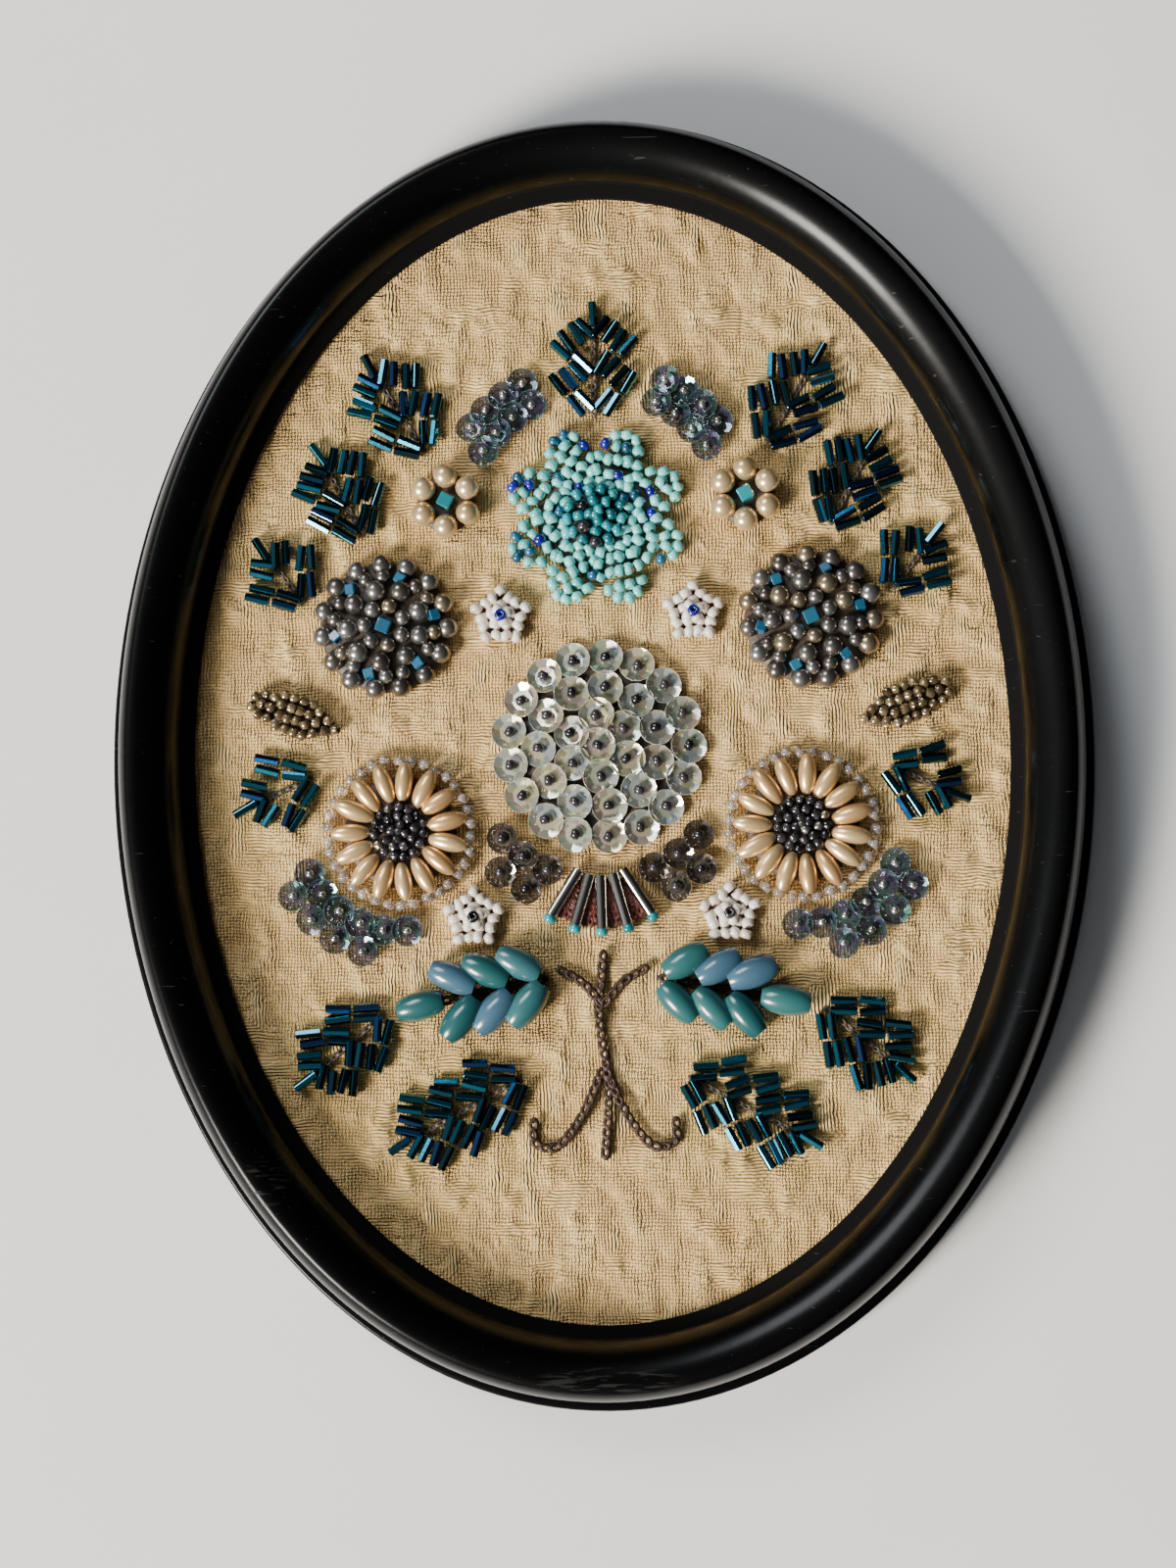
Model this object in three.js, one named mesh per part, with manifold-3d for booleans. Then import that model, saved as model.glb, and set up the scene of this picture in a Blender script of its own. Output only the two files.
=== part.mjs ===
// An oval framed beadwork picture, lying face up on its back.
// Millimetres. +Z points up, out of the picture's face, and +Y points to the picture's top.
// The origin is in the middle of the underside, on the plane that the frame rests on.
// Each mirrored piece has a left and a right copy, on the -X and +X side.
import * as THREE from "three";
import { mergeVertices } from "three/addons/utils/BufferGeometryUtils.js";
import Module from "manifold-3d";

const wasm = await Module();
wasm.setup();

// Driving dimensions
const OPENING = { halfWidth: 65, halfLength: 90 }; // the sight edge, an oval of 130 by 180
const FRAME = {
  band: 13.5, // moulding width, from the sight edge out
  height: 15.2,
  ledgeTop: 4.6, // the foot's flat ledge
  ledgeWidth: 2,
  footRound: 0.6, // the foot's rounded top edge
  shoulderFoot: 8.4, // where the rounded shoulder starts above the ledge
  crest: 8.7, // the crest's distance from the sight edge
  lipWidth: 1.9, // the narrow lip round the picture
  lipTop: 8.2,
  lipEdge: 6.6,
  lipUnderside: 5.6,
  rebateWidth: 4,
};
const GAP = 0.3; // between neighbouring pieces
const CLOTH = { thickness: 1, sideClearance: 0.6, relief: 0.35 };
const BOARD = { thickness: 2.5 };
const GROUND = { thickness: 0.6 }; // the close stitching under each group of beads

// Bead sizes
const BUGLE = { length: 4.5, radius: 0.9 };
const LONG_BUGLE = { length: 8.5, radius: 1 };
const PEARL = { radius: 1.8 };
const CREAM_PEARL = { radius: 2.1 };
const RICE_PEARL = { length: 6.6, radius: 1.5 };
const OVAL_BEAD = { length: 8, radius: 2.5 };
const SEED = { radius: 1.05 };
const CUBE = { side: 2.4 };
const LARGE_SEQUIN = { radius: 3 };
const SMALL_SEQUIN = { radius: 2.6, rim: 6.9 }; // rim is its height

const THREAD = { radius: 0.65 };

// Heights that follow from them
const CLOTH_TOP = FRAME.lipUnderside - GAP;
const BOARD_TOP = CLOTH_TOP - CLOTH.thickness - GAP;
const GROUND_FOOT = CLOTH_TOP + GAP;
const GROUND_TOP = GROUND_FOOT + GROUND.thickness;

// How finely the round shapes are faceted
const FACETS = { oval: 72, shoulder: 3, slope: 5, cloth: 40, clothRings: 6, ground: 13, board: 17 };

const SIDES = [
  { word: "left", sign: -1 },
  { word: "right", sign: 1 },
];

// Materials, with the colours of the real thing
function finish(color, roughness, metalness = 0) {
  return new THREE.MeshStandardMaterial({ color, roughness, metalness });
}
const MATERIALS = {
  lacquer: finish(0x0c0c0d, 0.25),
  linen: finish(0xcdb286, 0.9),
  board: finish(0x8b7e6a, 0.95),
  petrol: finish(0x0d4256, 0.15, 0.5),
  turquoise: finish(0x7fd0c9, 0.3),
  gunmetal: finish(0x77736b, 0.3, 0.6),
  champagne: finish(0xd9b98a, 0.3),
  shell: finish(0xdcdccb, 0.25),
  mist: finish(0x8fa3ad, 0.2),
  milk: finish(0xe9e3d8, 0.25),
  lagoon: finish(0x4d9fa3, 0.2),
  taupe: finish(0x6b5a45, 0.3),
  smoke: finish(0x6f6a62, 0.2, 0.3),
  silver: finish(0xa9a59a, 0.2, 0.7),
  thread: finish(0x4a2f22, 0.7),
};

// A closed three.js geometry as a solid that can be joined to others.
function toSolid(geometry) {
  const plain = geometry.clone();
  plain.deleteAttribute("normal");
  plain.deleteAttribute("uv");
  const merged = mergeVertices(plain, 1e-4);
  return new wasm.Manifold(
    new wasm.Mesh({
      numProp: 3,
      vertProperties: merged.attributes.position.array,
      triVerts: new Uint32Array(merged.index.array),
    }),
  );
}

// Geometries that overlap, joined into one body that lies flat on the cloth, as a mesh of that name.
function sewn(name, material, geometries) {
  const size = 400;
  const below = new THREE.BoxGeometry(size, size, size).translate(0, 0, GROUND_FOOT - size / 2);
  const solid = wasm.Manifold.union(geometries.map(toSolid)).subtract(toSolid(below));
  const { vertProperties, triVerts } = solid.getMesh();
  const geometry = new THREE.BufferGeometry()
    .setAttribute("position", new THREE.BufferAttribute(vertProperties, 3))
    .setIndex(new THREE.BufferAttribute(triVerts, 1));
  geometry.computeVertexNormals();
  return named(name, material, geometry);
}

function named(name, material, geometry) {
  const mesh = new THREE.Mesh(geometry, material);
  mesh.name = name;
  return mesh;
}

// A geometry turned by yaw about Z and pitch about its own X axis, then moved to x, y, z.
function placed(geometry, { x, y, z, yaw = 0, pitch = 0 }) {
  const turn = new THREE.Quaternion().setFromEuler(new THREE.Euler(pitch, 0, yaw, "ZXY"));
  const matrix = new THREE.Matrix4().compose(
    new THREE.Vector3(x, y, z),
    turn,
    new THREE.Vector3(1, 1, 1),
  );
  return geometry.clone().applyMatrix4(matrix);
}

// Points evenly round a circle, each with the angle at which it stands.
function ringOf(count, radius, start = 0) {
  return Array.from({ length: count }, (_, i) => {
    const angle = start + (i * 2 * Math.PI) / count;
    return { angle, x: radius * Math.cos(angle), y: radius * Math.sin(angle) };
  });
}

// Bead shapes, each round its own middle. Long beads lie along Y.
const beads = {
  bugle: ({ length, radius }) => new THREE.CylinderGeometry(radius, radius, length, 5),
  // A bar with a flat top and foot, as wide as several bugles side by side.
  bugleBar: (count, abreast) =>
    new THREE.CylinderGeometry(BUGLE.radius, BUGLE.radius, count * BUGLE.length, 6)
      .rotateY(Math.PI / 6)
      .scale(abreast, 1, 1),
  ball: (radius) => new THREE.SphereGeometry(radius, 5, 3).rotateX(Math.PI / 2),
  long: ({ length, radius }) => new THREE.SphereGeometry(1, 6, 4).scale(radius, length / 2, radius),
  seed: () => new THREE.SphereGeometry(SEED.radius, 4, 2).rotateX(Math.PI / 2),
  cube: () => new THREE.BoxGeometry(CUBE.side, CUBE.side, CUBE.side),
  // A sequin with what holds it up: a disc from the cloth to its rim, which is at z 0.
  sequin: ({ radius }, rim) =>
    new THREE.CylinderGeometry(radius, radius, rim - GROUND_FOOT, 6)
      .rotateX(Math.PI / 2)
      .translate(0, 0, (GROUND_FOOT - rim) / 2),
};

// A low dome of that half-width, half-length and height round its own middle.
function dome(halfWidth, halfLength, height, sides = 7) {
  return new THREE.SphereGeometry(1, sides, 4)
    .rotateX(Math.PI / 2)
    .scale(halfWidth, halfLength, height);
}

// A round pad of close stitches on the cloth
function roundGround(x, y, radius, thickness = GROUND.thickness) {
  return new THREE.CylinderGeometry(radius, radius, thickness, FACETS.ground)
    .rotateX(Math.PI / 2)
    .translate(x, y, GROUND_FOOT + thickness / 2);
}

// A pointed leaf from its base at x, y, along yaw, where yaw 0 points to +Y.
function leafGround({ x, y, yaw, length, width }) {
  const outline = new THREE.Shape();
  outline.moveTo(0, 0);
  outline.quadraticCurveTo(width, length * 0.45, 0, length);
  outline.quadraticCurveTo(-width, length * 0.45, 0, 0);
  return new THREE.ExtrudeGeometry(outline, {
    depth: GROUND.thickness,
    bevelEnabled: false,
    curveSegments: 5,
  })
    .rotateZ(yaw)
    .translate(x, y, GROUND_FOOT);
}

// A quarter of an oval from a start angle, as points of distance outside the sight edge and height.
function quarter(middle, foot, halfWidth, rise, start, steps) {
  return Array.from({ length: steps + 1 }, (_, i) => {
    const angle = start + (i * Math.PI) / 2 / steps;
    return [middle + halfWidth * Math.cos(angle), foot + rise * Math.sin(angle)];
  });
}

// The frame's section: a foot with a ledge, a steep shoulder, a long inner slope and the lip.
function mouldingSection() {
  const { band, height, ledgeTop, footRound, shoulderFoot, crest, lipWidth, lipTop } = FRAME;
  const wall = band - FRAME.ledgeWidth;
  const shoulder = [wall - crest, height - shoulderFoot, 0, FACETS.shoulder];
  const slope = [crest - lipWidth, height - lipTop, Math.PI / 2, FACETS.slope];
  return [
    [band, 0],
    [band, ledgeTop - footRound],
    [band - footRound, ledgeTop],
    [wall, ledgeTop],
    ...quarter(crest, shoulderFoot, ...shoulder),
    ...quarter(crest, lipTop, ...slope).slice(1),
    [0, FRAME.lipEdge],
    [0, FRAME.lipUnderside],
    [FRAME.rebateWidth, FRAME.lipUnderside],
    [FRAME.rebateWidth, 0],
  ];
}

// A ring of that section round the oval: a round ring first, whose points then move to the oval.
function ovalRing(section) {
  const round = OPENING.halfLength;
  const profile = [...section, section[0]].map(([out, up]) => new THREE.Vector2(round + out, up));
  const geometry = new THREE.LatheGeometry(profile, FACETS.oval).rotateX(Math.PI / 2);
  const spot = geometry.attributes.position;
  for (let i = 0; i < spot.count; i++) {
    const angle = Math.atan2(spot.getY(i), spot.getX(i));
    const out = Math.hypot(spot.getX(i), spot.getY(i)) - round;
    const edge = ovalEdge(angle, out);
    spot.setXYZ(i, edge.x, edge.y, spot.getZ(i));
  }
  return geometry;
}

// The point of the opening's oval at that angle, moved out square to the oval.
function ovalEdge(angle, out) {
  const { halfWidth, halfLength } = OPENING;
  const across = Math.cos(angle) / halfWidth;
  const along = Math.sin(angle) / halfLength;
  const size = Math.hypot(across, along);
  return {
    x: halfWidth * Math.cos(angle) + (out * across) / size,
    y: halfLength * Math.sin(angle) + (out * along) / size,
  };
}

function frame() {
  return named("frame_moulding", MATERIALS.lacquer, ovalRing(mouldingSection()));
}

const CUT_OUT = FRAME.rebateWidth - CLOTH.sideClearance;

function backingBoard() {
  const outline = new THREE.Shape().absellipse(
    0,
    0,
    OPENING.halfWidth + CUT_OUT,
    OPENING.halfLength + CUT_OUT,
    0,
    2 * Math.PI,
  );
  const geometry = new THREE.ExtrudeGeometry(outline, {
    depth: BOARD.thickness,
    bevelEnabled: false,
    curveSegments: FACETS.board,
  }).translate(0, 0, BOARD_TOP - BOARD.thickness);
  return named("backing_board", MATERIALS.board, geometry);
}

// How far the cloth dips below its highest plane: soft puckers that run across it in waves.
function pucker(x, y) {
  const wave = Math.sin(0.31 * x + 1.4 * Math.sin(0.11 * y)) * Math.sin(0.23 * y + 0.9);
  const ripple = Math.sin(0.12 * x - 0.34 * y + 2 * Math.sin(0.07 * x));
  return CLOTH.relief * (0.5 + 0.3 * wave + 0.2 * ripple);
}

// The cloth, a thin oval sheet with its puckers on the face and flat where the lip holds it.
function cloth() {
  const rings = FACETS.clothRings;
  const top = Array.from({ length: rings + 1 }, (_, i) => new THREE.Vector2(i / rings, 1));
  const profile = [new THREE.Vector2(0, 0), new THREE.Vector2(1, 0), ...top.reverse()];
  const geometry = new THREE.LatheGeometry(profile, FACETS.cloth).rotateX(Math.PI / 2);
  const spot = geometry.attributes.position;
  for (let i = 0; i < spot.count; i++) {
    const x = spot.getX(i) * (OPENING.halfWidth + CUT_OUT);
    const y = spot.getY(i) * (OPENING.halfLength + CUT_OUT);
    const held = Math.hypot(spot.getX(i), spot.getY(i)) > 1 - 0.5 / rings;
    const onTop = spot.getZ(i) > 0.5;
    const dip = onTop && !held ? pucker(x, y) : 0;
    spot.setXYZ(i, x, y, onTop ? CLOTH_TOP - dip : CLOTH_TOP - CLOTH.thickness);
  }
  return named("linen_cloth", MATERIALS.linen, geometry);
}

// Sprays of short bugle beads, set like the leaflets of a fern.
// x and y are the base, and lean is the turn from +Y towards +X in degrees.
// leaflets counts the bugles that lie end to end in each pair of leaflets, from the base up.
const SPRAYS = [
  { name: "spray_crown", x: 0, y: 54.6, lean: 0, length: 18.4, leaflets: [2, 2, 1] },
  { name: "spray_shoulder", x: 27.5, y: 49.5, lean: 32, length: 18.4, leaflets: [2, 2, 1] },
  { name: "spray_upper", x: 37.5, y: 36, lean: 28, length: 17, leaflets: [2, 2, 1] },
  { name: "spray_flank", x: 47.2, y: 25.4, lean: 38, length: 13, leaflets: [2, 1] },
  { name: "spray_side", x: 46.3, y: -3, lean: 115, length: 13.5, leaflets: [2, 1] },
  { name: "spray_lower", x: 35, y: -41, lean: 130, length: 18, leaflets: [2, 2, 1] },
  { name: "spray_foot", x: 13.4, y: -51.5, lean: 118, length: 23.5, leaflets: [2, 2, 2, 1] },
];
// A leaflet is two bugles wide. It turns from the rib by the angle and starts that far off it.
const LEAFLET = { angle: 0.66, abreast: 1.9, start: 0.6, tip: 6.4, rib: 1.2 };

function spray({ x: offset, y, lean, length, leaflets, sign, name }) {
  const x = sign * offset;
  const yaw = -sign * THREE.MathUtils.degToRad(lean);
  const along = { x: -Math.sin(yaw), y: Math.cos(yaw) };
  const step = (length - LEAFLET.tip) / (leaflets.length - 1);
  const height = GROUND_FOOT + BUGLE.radius * Math.cos(Math.PI / 6);
  const rib = new THREE.BoxGeometry(LEAFLET.rib, length, GROUND.thickness).translate(0, length / 2, 0);
  const pieces = [placed(rib, { x, y, z: (GROUND_FOOT + GROUND_TOP) / 2, yaw })];
  const add = (bar, at, out, turn) =>
    pieces.push(
      placed(bar, {
        x: x + along.x * at + along.y * out,
        y: y + along.y * at - along.x * out,
        z: height,
        yaw: yaw - turn,
      }),
    );
  leaflets.forEach((count, i) => {
    const bar = beads.bugleBar(count, LEAFLET.abreast);
    const reach = (count * BUGLE.length) / 2;
    const at = i * step + reach * Math.cos(LEAFLET.angle);
    const out = LEAFLET.start + reach * Math.sin(LEAFLET.angle);
    add(bar, at, -out, -LEAFLET.angle);
    add(bar, at, out, LEAFLET.angle);
  });
  add(beads.bugleBar(1, 1), length - BUGLE.length * 0.45, 0, 0);
  return sewn(name, MATERIALS.petrol, pieces);
}

// The large middle flower: rings of sequins, each ring higher than the one round it.
const DAHLIA = {
  x: 0,
  y: 1,
  ground: 15,
  rings: [
    { count: 17, radius: 14.4, rim: 6.9 },
    { count: 11, radius: 9.6, rim: 7.7 },
    { count: 6, radius: 4.9, rim: 8.4 },
    { count: 1, radius: 0, rim: 9 },
  ],
};

function sequinDahlia() {
  const { x, y, ground, rings } = DAHLIA;
  const pieces = [roundGround(x, y, ground)];
  rings.forEach(({ count, radius, rim }, row) => {
    for (const spot of ringOf(count, radius, row * 0.3)) {
      const at = { x: x + spot.x, y: y + spot.y, z: rim };
      pieces.push(placed(beads.sequin(LARGE_SEQUIN, rim), { ...at, yaw: spot.angle }));
    }
  });
  return sewn("sequin_dahlia", MATERIALS.shell, pieces);
}

// The seed bead flower above it: petals as filled cushions round a raised eye.
const DAISY = { x: 0, y: 38, petals: 8, petalLength: 11, petalWidth: 8.4, reach: 9.7, eye: 5.4 };

function seedDaisy() {
  const { x, y, petals, petalLength, petalWidth, reach, eye } = DAISY;
  const pieces = [roundGround(x, y, 8.5)];
  for (const spot of ringOf(petals, reach, Math.PI / petals)) {
    const petal = dome(petalLength / 2, petalWidth / 2, 1.9);
    const onCloth = { x: x + spot.x, y: y + spot.y, z: GROUND_FOOT + 0.3, yaw: spot.angle };
    pieces.push(placed(petal, onCloth));
  }
  pieces.push(dome(eye, eye, 2.6, 10).translate(x, y, GROUND_TOP));
  return sewn("seed_daisy", MATERIALS.turquoise, pieces);
}

// A round rosette of pearls in rings round a cube bead.
const ROSETTE = {
  x: 34,
  y: 21,
  ground: 10.6,
  mound: { radius: 6.9, thickness: 1.7 },
  rings: [
    { count: 15, radius: 10, lift: 0.6 },
    { count: 9, radius: 6, lift: 1.5 },
  ],
};

function pearlRosette({ sign, name }) {
  const { y, ground, rings } = ROSETTE;
  const x = sign * ROSETTE.x;
  const pieces = [
    roundGround(x, y, ground),
    roundGround(x, y, ROSETTE.mound.radius, ROSETTE.mound.thickness),
    placed(beads.cube(), { x, y, z: GROUND_TOP + 2, yaw: 0.4 * sign }),
  ];
  for (const { count, radius, lift } of rings) {
    for (const spot of ringOf(count, radius, radius)) {
      const at = { x: x + spot.x, y: y + spot.y, z: GROUND_TOP + lift };
      pieces.push(placed(beads.ball(PEARL.radius), at));
    }
  }
  return sewn(name, MATERIALS.gunmetal, pieces);
}

// A daisy of long pearls round a dark eye of seed beads.
const RICE_DAISY = { x: 32, y: -12, petals: 15, reach: 7.9, eye: 4.7, ground: 12.4 };

function riceDaisy({ sign, name }) {
  const { y, petals, reach, eye, ground } = RICE_DAISY;
  const x = sign * RICE_DAISY.x;
  const pieces = [
    roundGround(x, y, ground),
    dome(eye, eye, 2.4).translate(x, y, GROUND_TOP + 0.1),
  ];
  for (const spot of ringOf(petals, reach, 0.2)) {
    const at = { x: x + spot.x, y: y + spot.y, z: GROUND_TOP + 0.9, yaw: spot.angle - Math.PI / 2 };
    pieces.push(placed(beads.long(RICE_PEARL), at));
  }
  return sewn(name, MATERIALS.champagne, pieces);
}

// Small five-petalled blossoms, each petal a cushion of seed beads.
const BLOSSOMS = [
  { name: "seed_blossom_upper", x: 15.4, y: 22.3 },
  { name: "seed_blossom_lower", x: 20.3, y: -25.8 },
];
const BLOSSOM = { petals: 5, reach: 2.9, petalRadius: 2.1, eye: 2.4, ground: 3.9 };

function seedBlossom({ x: offset, y, sign, name }) {
  const { petals, reach, petalRadius, eye, ground } = BLOSSOM;
  const x = sign * offset;
  const pieces = [roundGround(x, y, ground), dome(eye, eye, 1.9).translate(x, y, GROUND_TOP)];
  for (const spot of ringOf(petals, reach, Math.PI / 2)) {
    const petal = dome(petalRadius, petalRadius, 1.3, 6);
    pieces.push(placed(petal, { x: x + spot.x, y: y + spot.y, z: GROUND_TOP + 0.2 }));
  }
  return sewn(name, MATERIALS.milk, pieces);
}

// A posy of round pearls about a cube bead.
const POSY = { x: 24, y: 41, count: 6, reach: 4.1, ground: 4.8 };

function pearlPosy({ sign, name }) {
  const { y, count, reach, ground } = POSY;
  const x = sign * POSY.x;
  const pieces = [
    roundGround(x, y, ground),
    placed(beads.cube(), { x, y, z: GROUND_TOP + 0.9, yaw: 0.5 * sign }),
  ];
  for (const spot of ringOf(count, reach, Math.PI / 2)) {
    const at = { x: x + spot.x, y: y + spot.y, z: GROUND_TOP + 1.2 };
    pieces.push(placed(beads.ball(CREAM_PEARL.radius), at));
  }
  return sewn(name, MATERIALS.champagne, pieces);
}

// An ear of oval glass beads: pairs along a rib, and one at its tip.
const EAR = { x: 9, y: -35.8, lean: 101, length: 24, pairs: 3, spread: 0.62, reach: 3.3 };

function ovalEar({ sign, name }) {
  const { y, lean, length, pairs, spread, reach } = EAR;
  const x = sign * EAR.x;
  const yaw = -sign * THREE.MathUtils.degToRad(lean);
  const along = { x: -Math.sin(yaw), y: Math.cos(yaw) };
  const height = GROUND_TOP + OVAL_BEAD.radius * 0.6;
  const pieces = [leafGround({ x, y, yaw, length: length - 4, width: 5 })];
  const step = (length - OVAL_BEAD.length) / pairs;
  const add = (at, out, turn) =>
    pieces.push(
      placed(beads.long(OVAL_BEAD), {
        x: x + along.x * at + along.y * out,
        y: y + along.y * at - along.x * out,
        z: height,
        yaw: yaw - turn,
      }),
    );
  for (let i = 0; i < pairs; i++) {
    add(3.6 + i * step, -reach, -spread);
    add(3.6 + i * step, reach, spread);
  }
  add(length - 3.8, 0, 0);
  return sewn(name, MATERIALS.lagoon, pieces);
}

// A pointed leaf filled with small glass seed beads: a long cushion on its ground.
const LEAF = { x: 41, y: 4.2, lean: 70, length: 17, width: 7.6 };

function seedLeaf({ sign, name }) {
  const { y, lean, length, width } = LEAF;
  const x = sign * LEAF.x;
  const yaw = -sign * THREE.MathUtils.degToRad(lean);
  const cushion = dome(width * 0.47, length * 0.46, 1.7, 12);
  const middle = { x: x - Math.sin(yaw) * length * 0.5, y: y + Math.cos(yaw) * length * 0.5 };
  return sewn(name, MATERIALS.taupe, [
    leafGround({ x, y, yaw, length, width }),
    placed(cushion, { ...middle, z: GROUND_TOP, yaw }),
  ]);
}

// Bands of small sequins in two rows, on arcs about x, y. Angles are in degrees.
const BANDS = [
  {
    name: "sequin_band_upper",
    x: 0,
    y: 37.5,
    rows: [
      { radius: 21.4, from: 33, to: 62, count: 4 },
      { radius: 25.2, from: 38, to: 63, count: 4 },
    ],
  },
  {
    name: "sequin_band_lower",
    x: 32,
    y: -12,
    rows: [
      { radius: 15.8, from: -94, to: -24, count: 6 },
      { radius: 19.8, from: -72, to: -30, count: 4 },
    ],
  },
];

function sequinBand({ x, y, rows, sign, name }) {
  const pieces = [];
  for (const { radius, from, to, count } of rows) {
    const first = THREE.MathUtils.degToRad(from);
    const last = THREE.MathUtils.degToRad(to);
    for (let i = 0; i < count; i++) {
      const angle = first + ((last - first) * i) / (count - 1);
      const at = { x: sign * (x + radius * Math.cos(angle)), y: y + radius * Math.sin(angle) };
      const z = SMALL_SEQUIN.rim;
      pieces.push(placed(beads.sequin(SMALL_SEQUIN, z), { ...at, z, yaw: sign * angle }));
    }
  }
  return sewn(name, MATERIALS.mist, pieces);
}

// Deep smoky cup sequins in an arc under the middle flower.
const CUPS = {
  rows: [
    { radius: 21.2, angles: [-42.5, -54.5, -66.5] },
    { radius: 25.4, angles: [-51, -62] },
  ],
};

function smokyCups({ sign, name }) {
  const pieces = [];
  for (const { radius, angles } of CUPS.rows) {
    for (const degrees of angles) {
      const angle = THREE.MathUtils.degToRad(degrees);
      const x = sign * radius * Math.cos(angle);
      const y = DAHLIA.y + radius * Math.sin(angle);
      const z = SMALL_SEQUIN.rim;
      pieces.push(placed(beads.sequin(SMALL_SEQUIN, z), { x, y, z, yaw: sign * angle }));
      pieces.push(placed(beads.seed(), { x, y, z }));
    }
  }
  return sewn(name, MATERIALS.smoke, pieces);
}

// A fan of long silver bugles under the middle flower, each ended by a seed bead.
const FAN = { x: 0, y: -12.5, count: 5, spread: 0.27, reach: 11.2 };

function bugleFan() {
  const { x, y, count, spread, reach } = FAN;
  const pieces = [];
  for (let i = 0; i < count; i++) {
    const yaw = Math.PI + (i - (count - 1) / 2) * spread;
    const along = { x: -Math.sin(yaw), y: Math.cos(yaw) };
    const at = { x: x + along.x * reach, y: y + along.y * reach };
    const end = reach + LONG_BUGLE.length / 2 + SEED.radius * 0.4;
    const z = GROUND_TOP + LONG_BUGLE.radius * 0.5;
    pieces.push(placed(beads.bugle(LONG_BUGLE), { ...at, z, yaw }));
    pieces.push(placed(beads.seed(), { x: x + along.x * end, y: y + along.y * end, z }));
  }
  const pad = new THREE.CylinderGeometry(7.8, 7.8, GROUND.thickness, 14)
    .rotateX(Math.PI / 2)
    .scale(1, 0.5, 1)
    .translate(x, y - reach, (GROUND_FOOT + GROUND_TOP) / 2);
  return sewn("bugle_fan", MATERIALS.silver, [...pieces, pad]);
}

// The stems, ridges of chain stitch: one middle stem with two scrolls and two side stems.
const STEMS = {
  middle: [
    [0.2, -31.5],
    [-0.6, -42],
    [0.7, -53],
    [0, -64],
  ],
  scroll: [
    [0.2, -50],
    [3.4, -57],
    [7.4, -62],
    [11, -61.5],
    [11.2, -58],
  ],
  branch: [
    [0, -40],
    [3.2, -36.4],
    [6.6, -34.4],
  ],
};

function stitchRidge(points, sign, steps) {
  const z = GROUND_FOOT + THREAD.radius;
  const path = new THREE.CatmullRomCurve3(points.map(([x, y]) => new THREE.Vector3(sign * x, y, z)));
  const section = new THREE.Shape(
    ringOf(5, THREAD.radius, Math.PI / 6).map(({ x, y }) => new THREE.Vector2(x, y)),
  );
  return new THREE.ExtrudeGeometry(section, { steps, extrudePath: path, bevelEnabled: false });
}

function stitchedStems() {
  const pieces = [stitchRidge(STEMS.middle, 1, 6)];
  for (const { sign } of SIDES) {
    pieces.push(stitchRidge(STEMS.scroll, sign, 7));
    pieces.push(stitchRidge(STEMS.branch, sign, 4));
  }
  return sewn("stitched_stems", MATERIALS.thread, pieces);
}

// The left and right copies of a piece, named after their side.
function pair(make, row) {
  return SIDES.map(({ word, sign }) => make({ ...row, sign, name: row.name + "_" + word }));
}

const picture = new THREE.Group();
picture.add(frame(), backingBoard(), cloth());
picture.add(sequinDahlia(), seedDaisy(), bugleFan(), stitchedStems());
picture.add(...pair(pearlRosette, { name: "pearl_rosette" }));
picture.add(...pair(riceDaisy, { name: "rice_daisy" }));
for (const row of BLOSSOMS) picture.add(...pair(seedBlossom, row));
picture.add(...pair(pearlPosy, { name: "pearl_posy" }));
picture.add(...pair(ovalEar, { name: "oval_ear" }));
picture.add(...pair(seedLeaf, { name: "seed_leaf" }));
picture.add(...pair(smokyCups, { name: "smoky_cups" }));
for (const row of BANDS) picture.add(...pair(sequinBand, row));
const [crown, ...sprays] = SPRAYS;
picture.add(spray({ ...crown, sign: 1 }));
for (const row of sprays) picture.add(...pair(spray, row));

export default picture;
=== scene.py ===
# Dresses the oval framed beadwork picture with its cloth, beads, sequins and lacquer.
# The tables of sizes and places are the solids' own, in millimetres, and MM makes them metres.
# The picture lies on its back: +Z is out of its face and +Y is its top.
import math
import random

import bmesh
import bpy
import numpy as np
from mathutils import Matrix, Vector


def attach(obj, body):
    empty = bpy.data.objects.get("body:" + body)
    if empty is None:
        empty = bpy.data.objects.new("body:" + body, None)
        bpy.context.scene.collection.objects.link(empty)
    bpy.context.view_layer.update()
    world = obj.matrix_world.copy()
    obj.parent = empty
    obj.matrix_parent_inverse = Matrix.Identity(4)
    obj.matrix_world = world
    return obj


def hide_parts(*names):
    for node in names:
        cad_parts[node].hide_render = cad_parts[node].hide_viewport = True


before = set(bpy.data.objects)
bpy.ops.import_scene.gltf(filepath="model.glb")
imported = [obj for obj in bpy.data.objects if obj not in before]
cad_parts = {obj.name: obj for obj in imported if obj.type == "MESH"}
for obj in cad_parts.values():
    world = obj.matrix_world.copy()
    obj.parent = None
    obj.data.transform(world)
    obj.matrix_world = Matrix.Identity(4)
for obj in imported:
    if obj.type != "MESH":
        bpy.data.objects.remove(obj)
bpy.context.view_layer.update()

MM = 0.001
random.seed(7)

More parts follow.
